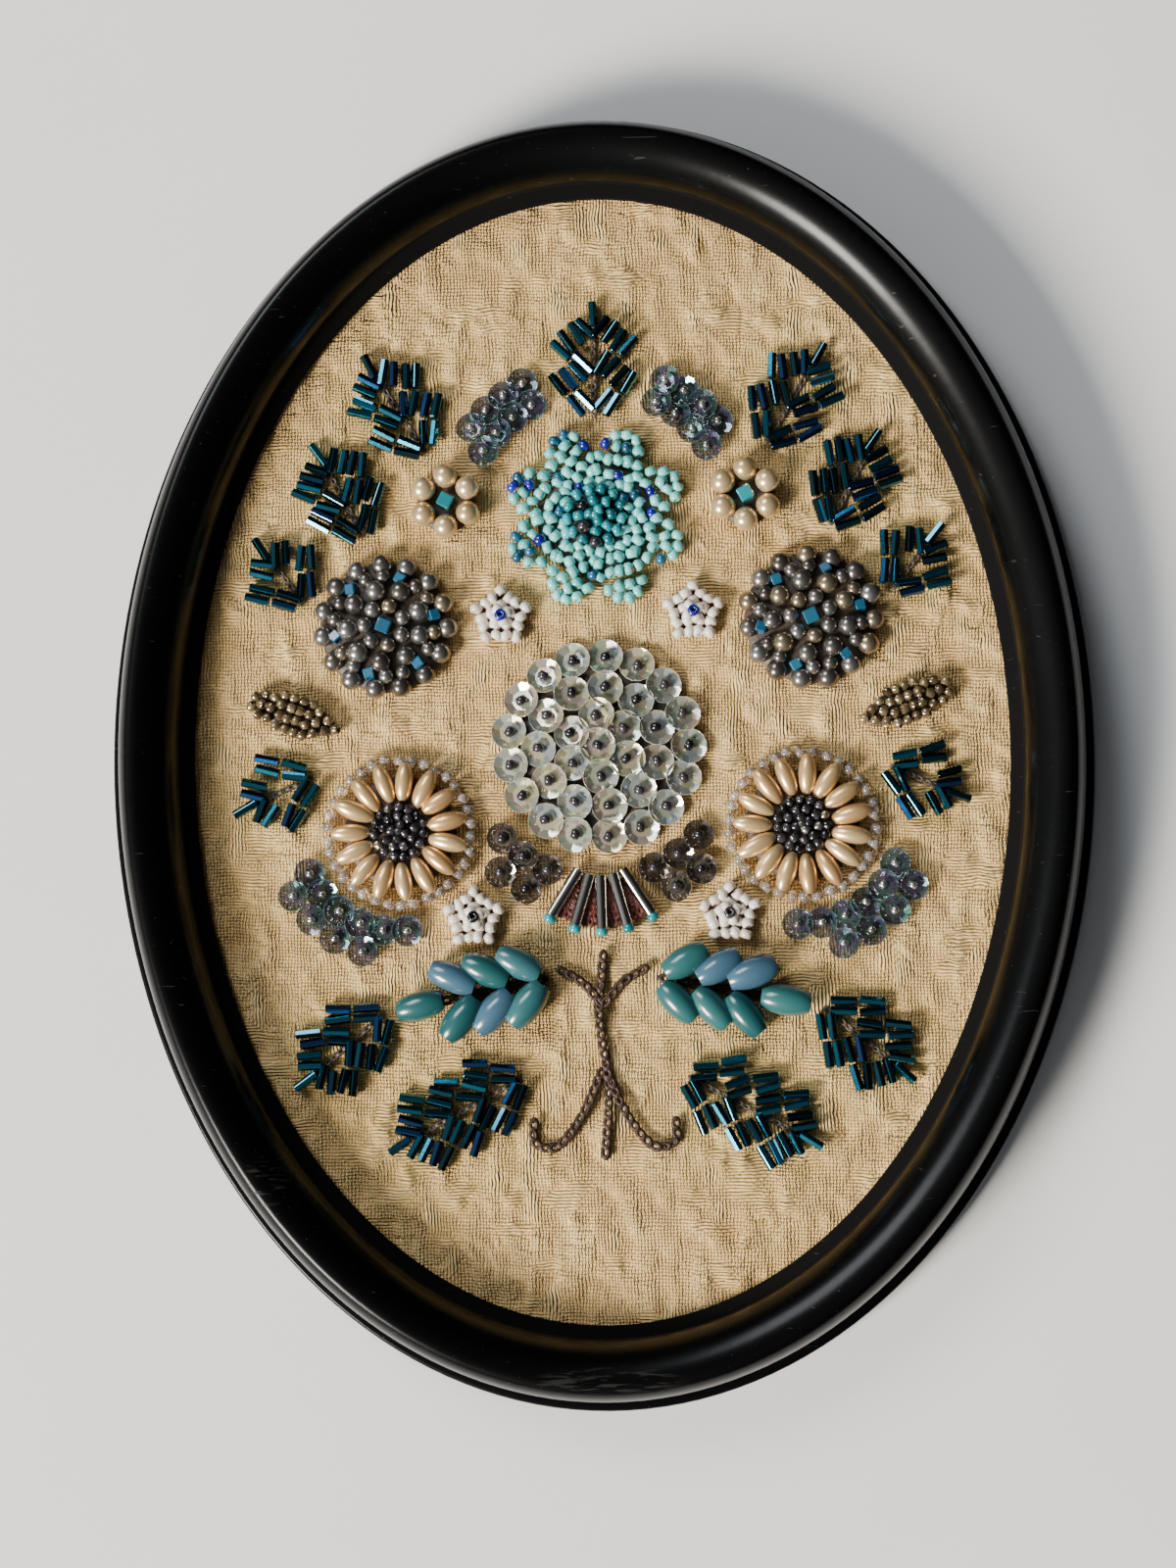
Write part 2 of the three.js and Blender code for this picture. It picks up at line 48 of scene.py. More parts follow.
# Sizes shared with the solids
OPENING = {"half_width": 65, "half_length": 90}
FRAME = {
    "band": 13.5,
    "height": 15.2,
    "ledge_top": 4.6,
    "ledge_width": 2,
    "foot_round": 0.6,
    "shoulder_foot": 8.4,
    "crest": 8.7,
    "lip_width": 1.9,
    "lip_top": 8.2,
    "lip_edge": 6.6,
    "lip_underside": 5.6,
    "rebate_width": 4,
}
GAP = 0.3
CLOTH = {"thickness": 0.9, "side_clearance": 0.6, "relief": 0.35}
CLOTH_TOP = FRAME["lip_underside"] - GAP
STITCH_TOP = CLOTH_TOP + 0.9

BUGLE = {"length": 4.4, "radius": 0.85}
LONG_BUGLE = {"length": 8.5, "radius": 0.95}
PEARL = 1.8
CREAM_PEARL = 2.1
RICE = {"length": 6.6, "radius": 1.5}
OVAL = {"length": 8, "radius": 2.5}
SEED = {"radius": 1.05, "length": 1.6}
CUBE = 2.3
LARGE_SEQUIN = {"radius": 3.0, "depth": 0.75}
SMALL_SEQUIN = {"radius": 2.6, "depth": 0.65}
SMALL_RIM = 6.9

SIDES = {"left": -1, "right": 1}


# Shader maths


class Value:
    """An output of a material's node. Plain arithmetic on it adds Math nodes."""

    def __init__(self, finish, socket):
        self.finish = finish
        self.socket = socket

    def math(self, operation, *terms):
        return self.finish.node("ShaderNodeMath", {"operation": operation}, dict(enumerate(terms)))

    def __add__(self, other):
        return self.math("ADD", self, other)

    def __sub__(self, other):
        return self.math("SUBTRACT", self, other)

    def __rsub__(self, other):
        return self.math("SUBTRACT", other, self)

    def __mul__(self, other):
        return self.math("MULTIPLY", self, other)

    def __truediv__(self, other):
        return self.math("DIVIDE", self, other)

    def __abs__(self):
        return self.math("ABSOLUTE", self)

    __radd__ = __add__
    __rmul__ = __mul__

    def sine(self):
        return self.math("SINE", self)

    def fraction(self):
        return self.math("FRACT", self)

    def larger(self, other):
        return self.math("MAXIMUM", self, other)

    def between(self, low, high):
        """0 under low, 1 over high and a soft step in between."""
        settings = {"interpolation_type": "SMOOTHSTEP"}
        return self.finish.node("ShaderNodeMapRange", settings, {0: self, 1: low, 2: high})


class Finish:
    """A procedural material."""

    def __init__(self, name):
        self.material = bpy.data.materials.new(name)
        self.material.use_nodes = True
        self.tree = self.material.node_tree
        self.shader = self.tree.nodes["Principled BSDF"]
        place = self.node("ShaderNodeTexCoord", out="Object")
        self.place = self.vector("SCALE", place, Scale=1 / MM)

    def node(self, kind, settings=None, sockets=None, out=0):
        """Adds a node: its settings first, then the values or links of its sockets."""
        made = self.tree.nodes.new(kind)
        for name, value in (settings or {}).items():
            if name == "stops":
                self.set_stops(made.color_ramp, value)
            else:
                setattr(made, name, value)
        for name, value in (sockets or {}).items():
            self.feed(made.inputs[name], value)
        return Value(self, made.outputs[out])

    def feed(self, socket, value):
        if isinstance(value, Value):
            self.tree.links.new(value.socket, socket)
        else:
            socket.default_value = value

    def set_stops(self, ramp, stops):
        while len(ramp.elements) < len(stops):
            ramp.elements.new(1)
        for element, (position, colour) in zip(ramp.elements, stops):
            element.position = position
            element.color = (*colour, 1)

    def vector(self, operation, *terms, **named):
        sockets = dict(enumerate(terms)) | named
        return self.node("ShaderNodeVectorMath", {"operation": operation}, sockets)

    def noise(self, scale, detail=2, stretch=(1, 1, 1), distortion=0.0):
        """Cloudy noise. scale is in features a millimetre, and stretch squeezes it along an axis."""
        place = self.vector("MULTIPLY", self.place, stretch)
        sockets = {"Vector": place, "Scale": scale, "Detail": detail, "Distortion": distortion}
        return self.node("ShaderNodeTexNoise", None, sockets)

    def axes(self):
        """The place's X and Y, in millimetres."""
        split = self.node("ShaderNodeSeparateXYZ", None, {0: self.place})
        return [Value(self, split.socket.node.outputs[i]) for i in range(2)]

    def attribute(self, name):
        return self.node("ShaderNodeAttribute", {"attribute_name": name}, out="Fac")

    def mix(self, factor, first, second):
        """A blend of two colours."""
        colours = [c if isinstance(c, Value) else (*c, 1) for c in (first, second)]
        sockets = {0: factor, 6: colours[0], 7: colours[1]}
        return self.node("ShaderNodeMix", {"data_type": "RGBA"}, sockets, out=2)

    def ramp(self, factor, stops):
        return self.node("ShaderNodeValToRGB", {"stops": stops}, {0: factor})

    def bump(self, height, depth, strength=1.0, under=None):
        """A normal from a height of 0 to 1 that stands for depth millimetres, over a finer bump under it."""
        sockets = {"Strength": strength, "Distance": depth * MM, "Height": height}
        if under is not None:
            sockets["Normal"] = under
        return self.node("ShaderNodeBump", None, sockets)

    def surface(self, **inputs):
        """Sets the shader's sockets. An underscore stands for a space."""
        for name, value in inputs.items():
            if isinstance(value, tuple) and len(value) == 3:
                value = (*value, 1)
            self.feed(self.shader.inputs[name.replace("_", " ")], value)
        return self.material


# Finishes


# Worn places on the lacquer: middle and half size, in millimetres
SCUFFS = (
    ((0.5, -97.5), (13, 2.2)),
    ((65.6, 28), (2.4, 0.4)),
    ((-52, -66), (4, 5)),
)
THREAD_PITCH = 0.52
CREASE_DEPTH = 1.5
THREAD_DEPTH = 0.34


def lacquer_finish():
    """Black lacquer with dust, a few scuffs and fine scratches, and matt on the lip."""
    finish = Finish("black_lacquer")
    x, y = finish.axes()
    cloud = finish.noise(0.05, 3)
    dust = finish.noise(2.3, 1).between(0.76, 0.8) * finish.noise(0.09, 2).between(0.42, 0.62)
    hairs = finish.noise(1.1, 2, stretch=(0.12, 1.5, 1), distortion=0.6).between(0.72, 0.75)
    streaks = finish.noise(0.9, 3, stretch=(0.25, 2.2, 1)).between(0.5, 0.62)
    scuffs = None
    for middle, reach in SCUFFS:
        across = (x - middle[0]) / reach[0]
        along = (y - middle[1]) / reach[1]
        patch = 1 - (across * across + along * along).between(0.3, 1)
        scuffs = patch if scuffs is None else scuffs.larger(patch)
    worn = scuffs * streaks
    lip = finish.attribute("lip")
    specks = dust.larger(hairs * 0.5)
    colour = finish.mix(worn * 0.22, (0.0008, 0.0008, 0.0008), (0.04, 0.038, 0.034))
    colour = finish.mix(specks * 0.45, colour, (0.08, 0.075, 0.068))
    ripple = finish.noise(0.35, 2)
    return finish.surface(
        Base_Color=colour,
        Roughness=0.21 + cloud * 0.1 + worn * 0.3 + specks * 0.2 + lip * 0.7,
        Specular_IOR_Level=0.17,
        Normal=finish.bump(ripple + specks * 0.2, 0.05, 0.35),
    )


def linen_finish():
    """Plain weave with creases, and long floats where the cloth's float attribute says so. Its colour is
    painted shade: darker in the gaps between threads and in the crease hollows.
    """
    finish = Finish("linen")
    x, y = finish.axes()
    lumps = finish.noise(0.22, 2, stretch=(1, 0.8, 1), distortion=0.6)
    columns = finish.noise(0.24, 0, stretch=(1.3, 0.45, 1)).between(0.35, 0.75)
    ridges = finish.noise(0.7, 1, stretch=(0.5, 1.4, 1))
    crease = lumps * 0.7 + ridges * columns * 0.45
    waver = finish.noise(0.3, 2) - 0.5
    across = (x + waver * 0.9 + crease * 0.5) * (math.pi / THREAD_PITCH)
    along = (y + waver * 0.6 + crease * 0.9) * (math.pi / THREAD_PITCH)
    floats = finish.attribute("float")
    over = across.sine() * along.sine() * (1 - abs(floats)) + floats
    warp_rise = abs(across.sine()) * (0.5 + over * 0.5)
    weft_rise = abs(along.sine()) * (0.42 - over * 0.38)
    rise = warp_rise.larger(weft_rise)
    thread = finish.noise(2.4, 2, stretch=(1, 0.1, 1)) + finish.noise(2.4, 2, stretch=(0.1, 1, 1))
    fibre = finish.noise(4, 2)
    blotch = finish.noise(0.045, 3)
    # Painted shade and light: the colour follows the threads' rise and the creases, darker in the gaps and
    # hollows and lighter on the tops; thread, fibre and blotch are the linen's own tone.
    tone = rise * 0.78 + thread * 0.26 + fibre * 0.15 + blotch * 0.2 + crease * 0.4
    colour = finish.ramp(
        tone - 0.45,
        (
            (0.0, (0.115, 0.055, 0.016)),
            (0.25, (0.36, 0.205, 0.07)),
            (0.58, (0.76, 0.50, 0.20)),
            (1.0, (0.98, 0.75, 0.37)),
        ),
    )
    stain = finish.attribute("stain") * finish.noise(0.5, 3).between(0.35, 0.65)
    colour = finish.mix(stain * 0.45, colour, (0.42, 0.33, 0.06))
    weave = finish.bump(rise + fibre * 0.15, THREAD_DEPTH)
    return finish.surface(
        Base_Color=colour,
        Roughness=0.92,
        Specular_IOR_Level=0.2,
        Normal=finish.bump(crease, CREASE_DEPTH, under=weave),
    )


def board_finish():
    """Brown card with a faint fibre and a few darker specks."""
    finish = Finish("backing_card")
    fibre = finish.noise(0.8, 4, stretch=(1, 0.2, 1))
    specks = finish.noise(1.6, 1).between(0.7, 0.76)
    cloud = finish.noise(0.03, 3)
    colour = finish.mix(cloud, (0.25, 0.17, 0.09), (0.33, 0.235, 0.13))
    colour = finish.mix(fibre * 0.4, colour, (0.42, 0.31, 0.19))
    colour = finish.mix(specks * 0.6, colour, (0.10, 0.065, 0.035))
    return finish.surface(
        Base_Color=colour,
        Roughness=0.86,
        Normal=finish.bump(fibre + specks, 0.08, 0.5),
    )


def bead_finish(name, dark, light, tint=None, roughness=0.2, grain=0.04, **surface):
    """Glass, pearl or foil. Each bead has its own tone from dark to light, and some take the tint."""
    finish = Finish(name)
    tone = finish.attribute("tone")
    colour = finish.mix(tone, dark, light)
    if tint:
        colour = finish.mix((tone * 7.3).fraction().between(0.72, 0.9), colour, tint)
    cloud = finish.noise(0.9)
    return finish.surface(
        Base_Color=finish.mix(cloud * 0.35, colour, dark),
        Roughness=roughness + cloud * 0.08,
        Normal=finish.bump(finish.noise(1.7), grain, 0.4),
        **surface,
    )


def foil_finish(name, base, tints, edge, roughness, clearness, grain=0.05, share=0.6, **surface):
    """Iridescent foil: soft bands of colour that run over each sequin, set off by its tone. A lighter edge
    colour on the rim is a painted highlight.
    """
    finish = Finish(name)
    rim = finish.attribute("rim").between(0.7, 0.95)
    bands = finish.noise(0.22) * 2.2 + finish.attribute("tone") * 3.1
    stops = [(i / len(tints), colour) for i, colour in enumerate(tints)]
    sheen = finish.ramp(bands.fraction(), (*stops, (1.0, tints[0])))
    body = finish.mix(share, base, sheen)
    # Painted highlight: the rim is mixed towards the lighter edge colour.
    return finish.surface(
        Base_Color=finish.mix(rim * 0.8, body, finish.mix(0.5, sheen, edge)),
        Roughness=roughness + finish.noise(1.1) * 0.12,
        Alpha=1 - clearness * (1 - rim * 0.8),
        Normal=finish.bump(finish.noise(1.3), grain, 0.35),
        **surface,
    )


def thread_finish(name, dark, light, metallic):
    """Twisted thread."""
    finish = Finish(name)
    twist = finish.noise(2.6, 2, stretch=(1, 0.5, 1))
    tone = finish.attribute("tone")
    return finish.surface(
        Base_Color=finish.mix(twist * 0.6 + tone * 0.4, dark, light),
        Roughness=0.5,
        Metallic=metallic,
        Normal=finish.bump(twist, 0.12, 0.7),
    )


GLASSY = {"Coat_Weight": 0.6, "Coat_Roughness": 0.05, "Specular_IOR_Level": 0.6}

# Each bead finish: its material's name, its dark and light tones, and its settings
BEADS = {
    "petrol": (
        "petrol_bugle_glass",
        (0.004, 0.045, 0.065),
        (0.012, 0.20, 0.29),
        GLASSY | {"tint": (0.012, 0.08, 0.24), "grain": 0.012, "roughness": 0.12, "Metallic": 1.0},
    ),
    "turquoise": ("turquoise_glass", (0.10, 0.47, 0.45), (0.25, 0.74, 0.68), GLASSY),
    "teal": ("clear_teal_glass", (0.003, 0.10, 0.12), (0.02, 0.33, 0.36), GLASSY | {"roughness": 0.1}),
    "petrol_seed": ("petrol_glass", (0.006, 0.05, 0.10), (0.02, 0.13, 0.22), GLASSY),
    "cobalt": ("cobalt_glass", (0.006, 0.005, 0.16), (0.02, 0.02, 0.42), GLASSY | {"roughness": 0.12}),
    "gunmetal": (
        "gunmetal_pearl",
        (0.12, 0.10, 0.085),
        (0.36, 0.35, 0.335),
        {"tint": (0.38, 0.30, 0.19), "Metallic": 0.85, "Coat_Weight": 0.4, "Coat_Roughness": 0.1},
    ),
    "champagne": (
        "champagne_pearl",
        (0.62, 0.36, 0.145),
        (0.90, 0.65, 0.33),
        {"roughness": 0.25, "Metallic": 0.65, "Coat_Weight": 0.5, "Coat_Roughness": 0.12},
    ),
    "cream": (
        "cream_pearl",
        (0.62, 0.43, 0.21),
        (0.84, 0.65, 0.38),
        {"roughness": 0.22, "Metallic": 0.65, "Coat_Weight": 0.5, "Coat_Roughness": 0.1},
    ),
    "jet": (
        "dark_glass",
        (0.006, 0.006, 0.008),
        (0.06, 0.05, 0.055),
        GLASSY | {"roughness": 0.1, "Metallic": 0.3},
    ),
    "clear": (
        "clear_glass",
        (0.70, 0.62, 0.55),
        (0.95, 0.92, 0.88),
        GLASSY | {"roughness": 0.05, "Transmission_Weight": 0.85},
    ),
    "crystal": (
        "crystal_glass",
        (0.34, 0.34, 0.32),
        (0.9, 0.9, 0.86),
        GLASSY | {"grain": 0.16, "roughness": 0.03, "Metallic": 0.9},
    ),
    "milk": ("milk_glass", (0.66, 0.57, 0.47), (0.86, 0.80, 0.72), GLASSY),
    "lagoon": (
        "lagoon_glass",
        (0.010, 0.068, 0.072),
        (0.032, 0.135, 0.135),
        {"tint": (0.048, 0.11, 0.17), "Coat_Weight": 0.4, "Coat_Roughness": 0.06},
    ),
    "taupe": (
        "taupe_glass",
        (0.10, 0.065, 0.03),
        (0.38, 0.28, 0.15),
        GLASSY | {"roughness": 0.1, "Metallic": 0.6},
    ),
    "silver": (
        "silver_lined_glass",
        (0.42, 0.39, 0.34),
        (0.80, 0.77, 0.70),
        GLASSY | {"grain": 0.005, "roughness": 0.1, "Metallic": 1.0},
    ),
}

# Each foil finish: its material's name, its base, tints and edge (a painted rim highlight), and its settings
FOILS = {
    "shell": (
        "shell_sequin",
        (0.46, 0.43, 0.34),
        ((0.70, 0.66, 0.54), (0.46, 0.66, 0.44), (0.78, 0.58, 0.52), (0.80, 0.76, 0.36), (0.46, 0.60, 0.68)),
        (0.95, 0.93, 0.82),
        {"roughness": 0.15, "clearness": 0.1, "Metallic": 0.65, "Coat_Weight": 0.8, "Coat_Roughness": 0.08},
    ),
    "mist": (
        "mist_sequin",
        (0.05, 0.07, 0.065),
        ((0.15, 0.10, 0.25), (0.04, 0.15, 0.14), (0.10, 0.15, 0.16), (0.12, 0.07, 0.19), (0.05, 0.17, 0.12)),
        (0.34, 0.62, 0.58),
        {"roughness": 0.08, "clearness": 0.36, "grain": 0.012, "share": 0.75}
        | {"Metallic": 0.8, "Coat_Weight": 0.8, "Coat_Roughness": 0.05},
    ),
    "smoke": (
        "smoky_sequin",
        (0.16, 0.13, 0.10),
        ((0.34, 0.29, 0.23), (0.10, 0.09, 0.075), (0.44, 0.38, 0.31), (0.13, 0.09, 0.075)),
        (0.55, 0.48, 0.42),
        {"roughness": 0.05, "clearness": 0.25, "grain": 0.02, "share": 0.85}
        | {"Metallic": 0.9, "Coat_Weight": 0.6, "Coat_Roughness": 0.05},
    ),
}

# Each thread finish: its material's name, its dark and light tones, and how metallic it is
THREADS = {
    "brown": ("brown_metal_thread", (0.004, 0.002, 0.0015), (0.065, 0.028, 0.014), 0.3),
    "rust": ("rust_thread", (0.03, 0.005, 0.003), (0.13, 0.016, 0.008), 0.0),
    # The ground stitches are as dark as thread in shade: partly real stitching, partly painted shade where
    # the pads show between beads.
    "ground": ("ground_stitches_painted_shade", (0.014, 0.010, 0.007), (0.085, 0.055, 0.032), 0.0),
}


def make_finishes():
    """Every finish of the object by the name that the pieces use."""
    finishes = {"lacquer": lacquer_finish(), "linen": linen_finish(), "card": board_finish()}
    for make, table in ((bead_finish, BEADS), (foil_finish, FOILS)):
        for name, (*colours, settings) in table.items():
            finishes[name] = make(*colours, **settings)
    for name, row in THREADS.items():
        finishes[name] = thread_finish(*row)
    return finishes


# Modelling by hand: primitives, edit mode and modifiers


def deselect():
    if bpy.context.mode != "OBJECT":
        bpy.ops.object.mode_set(mode="OBJECT")
    bpy.ops.object.select_all(action="DESELECT")


def settle(name, scale=None):
    """The new primitive gets its name, and its place and scale go into its mesh."""
    piece = bpy.context.active_object
    if scale:
        piece.scale = scale
    piece.name = name
    piece.data.name = name
    bpy.ops.object.transform_apply(location=True, rotation=True, scale=True)
    return piece


class Editing:
    """Edit mode on one piece, with faces picked by their middle and normal, in millimetres."""

    def __init__(self, piece):
        self.piece = piece

    def __enter__(self):
        bpy.ops.object.mode_set(mode="EDIT")
        bpy.ops.mesh.select_mode(type="FACE")
        return self

    def __exit__(self, *_):
        bpy.ops.object.mode_set(mode="OBJECT")

    def faces(self, test):
        shape = bmesh.from_edit_mesh(self.piece.data)
        for face in shape.faces:
            face.select_set(bool(test(face.calc_center_median() / MM, face.normal)))
        bmesh.update_edit_mesh(self.piece.data)

    def points(self, test):
        bpy.ops.mesh.select_mode(type="VERT")
        shape = bmesh.from_edit_mesh(self.piece.data)
        for point in shape.verts:
            point.select_set(bool(test(point.co / MM)))
        shape.select_flush_mode()
        bmesh.update_edit_mesh(self.piece.data)


def finish_with(piece, kind, **settings):
    """Adds a modifier and applies it."""
    modifier = piece.modifiers.new(kind.title(), kind)
    for name, value in settings.items():
        setattr(modifier, name, value)
    bpy.context.view_layer.objects.active = piece
    bpy.ops.object.modifier_apply(modifier=modifier.name)


def smooth(piece, degrees=40):
    deselect()
    piece.select_set(True)
    bpy.context.view_layer.objects.active = piece
    bpy.ops.object.shade_smooth_by_angle(angle=math.radians(degrees))


def paint(piece, name, values):
    """Gives each point of a mesh a value that its finish reads, or all of them the same."""
    layer = piece.data.attributes.new(name, "FLOAT", "POINT")
    spread = np.full(len(piece.data.vertices), values, np.float32)
    layer.data.foreach_set("value", spread)


# Bead shapes, each round the origin with its thread hole along Y, or along Z in a sequin

ALONG_Y = (math.pi / 2, 0, 0)


def pierce(width, depth):
    """Sinks a hole into each picked face, inside a rim of that width."""
    bpy.ops.mesh.inset(thickness=width * MM, use_individual=True)
    bpy.ops.mesh.inset(thickness=0.02 * MM, depth=-depth * MM, use_individual=True)


def bugle_shape(name, length, radius, sides=6):
    deselect()
    bpy.ops.mesh.primitive_cylinder_add(
        vertices=sides, radius=radius * MM, depth=length * MM, rotation=ALONG_Y
    )
    piece = settle(name)
    with Editing(piece) as edit:
        edit.faces(lambda middle, normal: abs(normal.y) > 0.9)
        pierce(radius * 0.42, 0.5)
    finish_with(piece, "BEVEL", width=0.09 * MM, segments=1, limit_method="ANGLE")
    if sides > 8:
        smooth(piece)
    return piece


def ball_shape(name, half_width, half_length, segments=14, rings=9):
    """A round, oval or long pearl with a dimple at each end of its hole."""
    deselect()
    bpy.ops.mesh.primitive_uv_sphere_add(segments=segments, ring_count=rings, radius=MM, rotation=ALONG_Y)
    piece = settle(name, (half_width, half_width, half_length))
    with Editing(piece) as edit:
        edit.points(lambda place: abs(place.y) > half_length * 0.985)
        bpy.ops.transform.resize(value=(1, 0.86, 1), center_override=(0, 0, 0))
    smooth(piece, 60)
    return piece


def barrel_shape(name, half_width, half_length):
    """A plump glass bead with flat ends and a hole."""
    deselect()
    bpy.ops.mesh.primitive_uv_sphere_add(segments=16, ring_count=14, radius=MM, rotation=ALONG_Y)
    piece = settle(name, (half_width, half_width, half_length * 1.24))
    with Editing(piece) as edit:
        for end in (-1, 1):
            place = (0, end * half_length * MM, 0)
            bpy.ops.mesh.select_all(action="SELECT")
            bpy.ops.mesh.bisect(plane_co=place, plane_no=(0, end, 0), clear_outer=True, use_fill=True)
        edit.faces(lambda middle, normal: abs(normal.y) > 0.99 and abs(middle.y) > half_length * 0.99)
        pierce(half_width * 0.22, 0.6)
    smooth(piece, 35)
    return piece


def torus_shape(name, segments, sides, radii, scale, rotation=(0, 0, 0)):
    deselect()
    bpy.ops.mesh.primitive_torus_add(
        major_segments=segments,
        minor_segments=sides,
        major_radius=radii[0] * MM,
        minor_radius=radii[1] * MM,
        rotation=rotation,
    )
    piece = settle(name, scale)
    smooth(piece, 80)
    return piece


def seed_shape(name, radius, length, segments=10, sides=6):
    scale = (1, 1, length / (radius * 0.84))
    return torus_shape(name, segments, sides, (radius * 0.6, radius * 0.42), scale, ALONG_Y)


def stitch_shape(name, length, width):
    """One loop of chain stitch."""
    return torus_shape(name, 10, 5, (width * 0.33, width * 0.22), (1, length / (width * 1.1), 1))


def cube_shape(name, side):
    deselect()
    bpy.ops.mesh.primitive_cube_add(size=side * MM)
    piece = settle(name)
    with Editing(piece) as edit:
        edit.faces(lambda middle, normal: abs(normal.y) > 0.9)
        pierce(side * 0.28, 0.5)
    finish_with(piece, "BEVEL", width=0.2 * MM, segments=1, limit_method="ANGLE")
    return piece


FOIL = 0.12


def sequin_shape(name, radius, depth, sides=8, flat=0.56):
    """A cup with flat facets round a flat middle with a thread hole. Its rim is level with the origin."""
    deselect()
    bpy.ops.mesh.primitive_circle_add(vertices=sides, radius=radius * 1.02 * MM, fill_type="NGON")
    piece = settle(name)
    apothem = radius * math.cos(math.pi / sides)
    with Editing(piece) as edit:
        edit.faces(lambda middle, normal: True)
        bpy.ops.mesh.inset(thickness=apothem * (1 - flat) * MM, depth=-depth * MM)
        bpy.ops.mesh.inset(thickness=(apothem * flat - 0.35) * MM, depth=-0.04 * MM)
        bpy.ops.mesh.delete(type="FACE")
        edit.points(lambda place: math.hypot(place.x, place.y) > radius * 0.95)
        bpy.ops.mesh.bevel(offset=radius * 0.2 * MM, affect="VERTICES")
    finish_with(piece, "SOLIDIFY", thickness=FOIL * MM, offset=0)
    paint(piece, "rim", [point.co.xy.length > radius * 0.9 * MM for point in piece.data.vertices])
    return piece


# Each bead shape's maker and sizes
SHAPE_SIZES = {
    "bugle": (bugle_shape, BUGLE["length"], BUGLE["radius"]),
    "long_bugle": (bugle_shape, LONG_BUGLE["length"], LONG_BUGLE["radius"], 16),
    "pearl": (ball_shape, PEARL, PEARL),
    "small_pearl": (ball_shape, 1.25, 1.25, 12, 8),
    "cream_pearl": (ball_shape, CREAM_PEARL, CREAM_PEARL),
    "rice": (ball_shape, RICE["radius"], RICE["length"] / 2, 12, 10),
    "oval": (barrel_shape, OVAL["radius"], OVAL["length"] / 2),
    "seed": (seed_shape, SEED["radius"], SEED["length"]),
    "fine_seed": (seed_shape, 0.85, 1.25, 8, 5),
    "cube": (cube_shape, CUBE),
    "small_cube": (cube_shape, 1.7),
    "large_sequin": (sequin_shape, LARGE_SEQUIN["radius"], LARGE_SEQUIN["depth"]),
    "small_sequin": (sequin_shape, SMALL_SEQUIN["radius"], SMALL_SEQUIN["depth"]),
    "stitch": (stitch_shape, 2.5, 1.5),
    "fine_stitch": (stitch_shape, 2.1, 1.0),
}


class Group:
    """Beads gathered into one piece, each a copy of a shape with its own tone."""

    def __init__(self, **ground):
        """Starts with a pad, where its place, sizes and finish are given."""
        self.copies = []
        if ground:
            self.copies.append(pad(**ground))
            paint(self.copies[0], "tone", 0.5)

    def lay(self, shape, finish, x, y, z, yaw=0.0, pitch=0.0, roll=0.0, size=1.0):
        """Sets a bead at a place. yaw turns its hole from +Y, pitch tips it, roll turns it round it."""
        copy = SHAPES[shape].copy()
        copy.data = SHAPES[shape].data.copy()
        bpy.context.collection.objects.link(copy)
        turn = Matrix.Rotation(yaw, 4, "Z") @ Matrix.Rotation(pitch, 4, "X") @ Matrix.Rotation(roll, 4, "Y")
        copy.matrix_world = Matrix.Translation(Vector((x, y, z)) * MM) @ turn @ Matrix.Scale(size, 4)
        copy.data.materials.clear()
        copy.data.materials.append(FINISHES[finish])
        paint(copy, "tone", random.random())
        self.copies.append(copy)

    def join(self, name, node, slot):
        """Joins the beads into one piece that takes the solid's place."""
        deselect()
        for copy in self.copies:
            copy.select_set(True)
        bpy.context.view_layer.objects.active = self.copies[0]
        if len(self.copies) > 1:
            bpy.ops.object.join()
        piece = settle(name)
        ride_for(piece, node)
        return piece


def ride_for(piece, node):
    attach(piece, "root")
    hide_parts(node)


def pad(x, y, radius, height, finish="ground", half_length=None, yaw=0.0):
    """A low mound of close stitches under a group of beads. Its default ground finish is dark as painted
    shade between the beads.
    """
    deselect()
    bpy.ops.mesh.primitive_uv_sphere_add(segments=28, ring_count=12, radius=MM)
    piece = bpy.context.active_object
    piece.scale = (radius, half_length or radius, height)
    piece.rotation_euler = (0, 0, yaw)
    piece.location = Vector((x, y, CLOTH_TOP + 0.15)) * MM
    piece = settle("pad")
    with Editing(piece):
        bpy.ops.mesh.select_all(action="SELECT")
        place = (0, 0, (CLOTH_TOP - 0.1) * MM)
        bpy.ops.mesh.bisect(plane_co=place, plane_no=(0, 0, 1), clear_inner=True, use_fill=True)
    smooth(piece, 60)
    piece.data.materials.append(FINISHES[finish])
    return piece


def ring_of(count, radius, start=0.0):
    """Angle, x and y of places spaced evenly round a circle."""
    for i in range(count):
        angle = start + i * 2 * math.pi / count
        yield angle, radius * math.cos(angle), radius * math.sin(angle)


def sway(reach):
    """A small random change either way."""
    return random.uniform(-reach, reach)


def any_turn(reach=3):
    """A random turn of a bead."""
    return random.random() * reach


# The frame


def quarter(middle, foot, half_width, rise, start, steps):
    """A quarter of an oval as distances outside the sight edge and heights."""
    for i in range(steps + 1):
        angle = start + i * math.pi / 2 / steps
        yield middle + half_width * math.cos(angle), foot + rise * math.sin(angle)


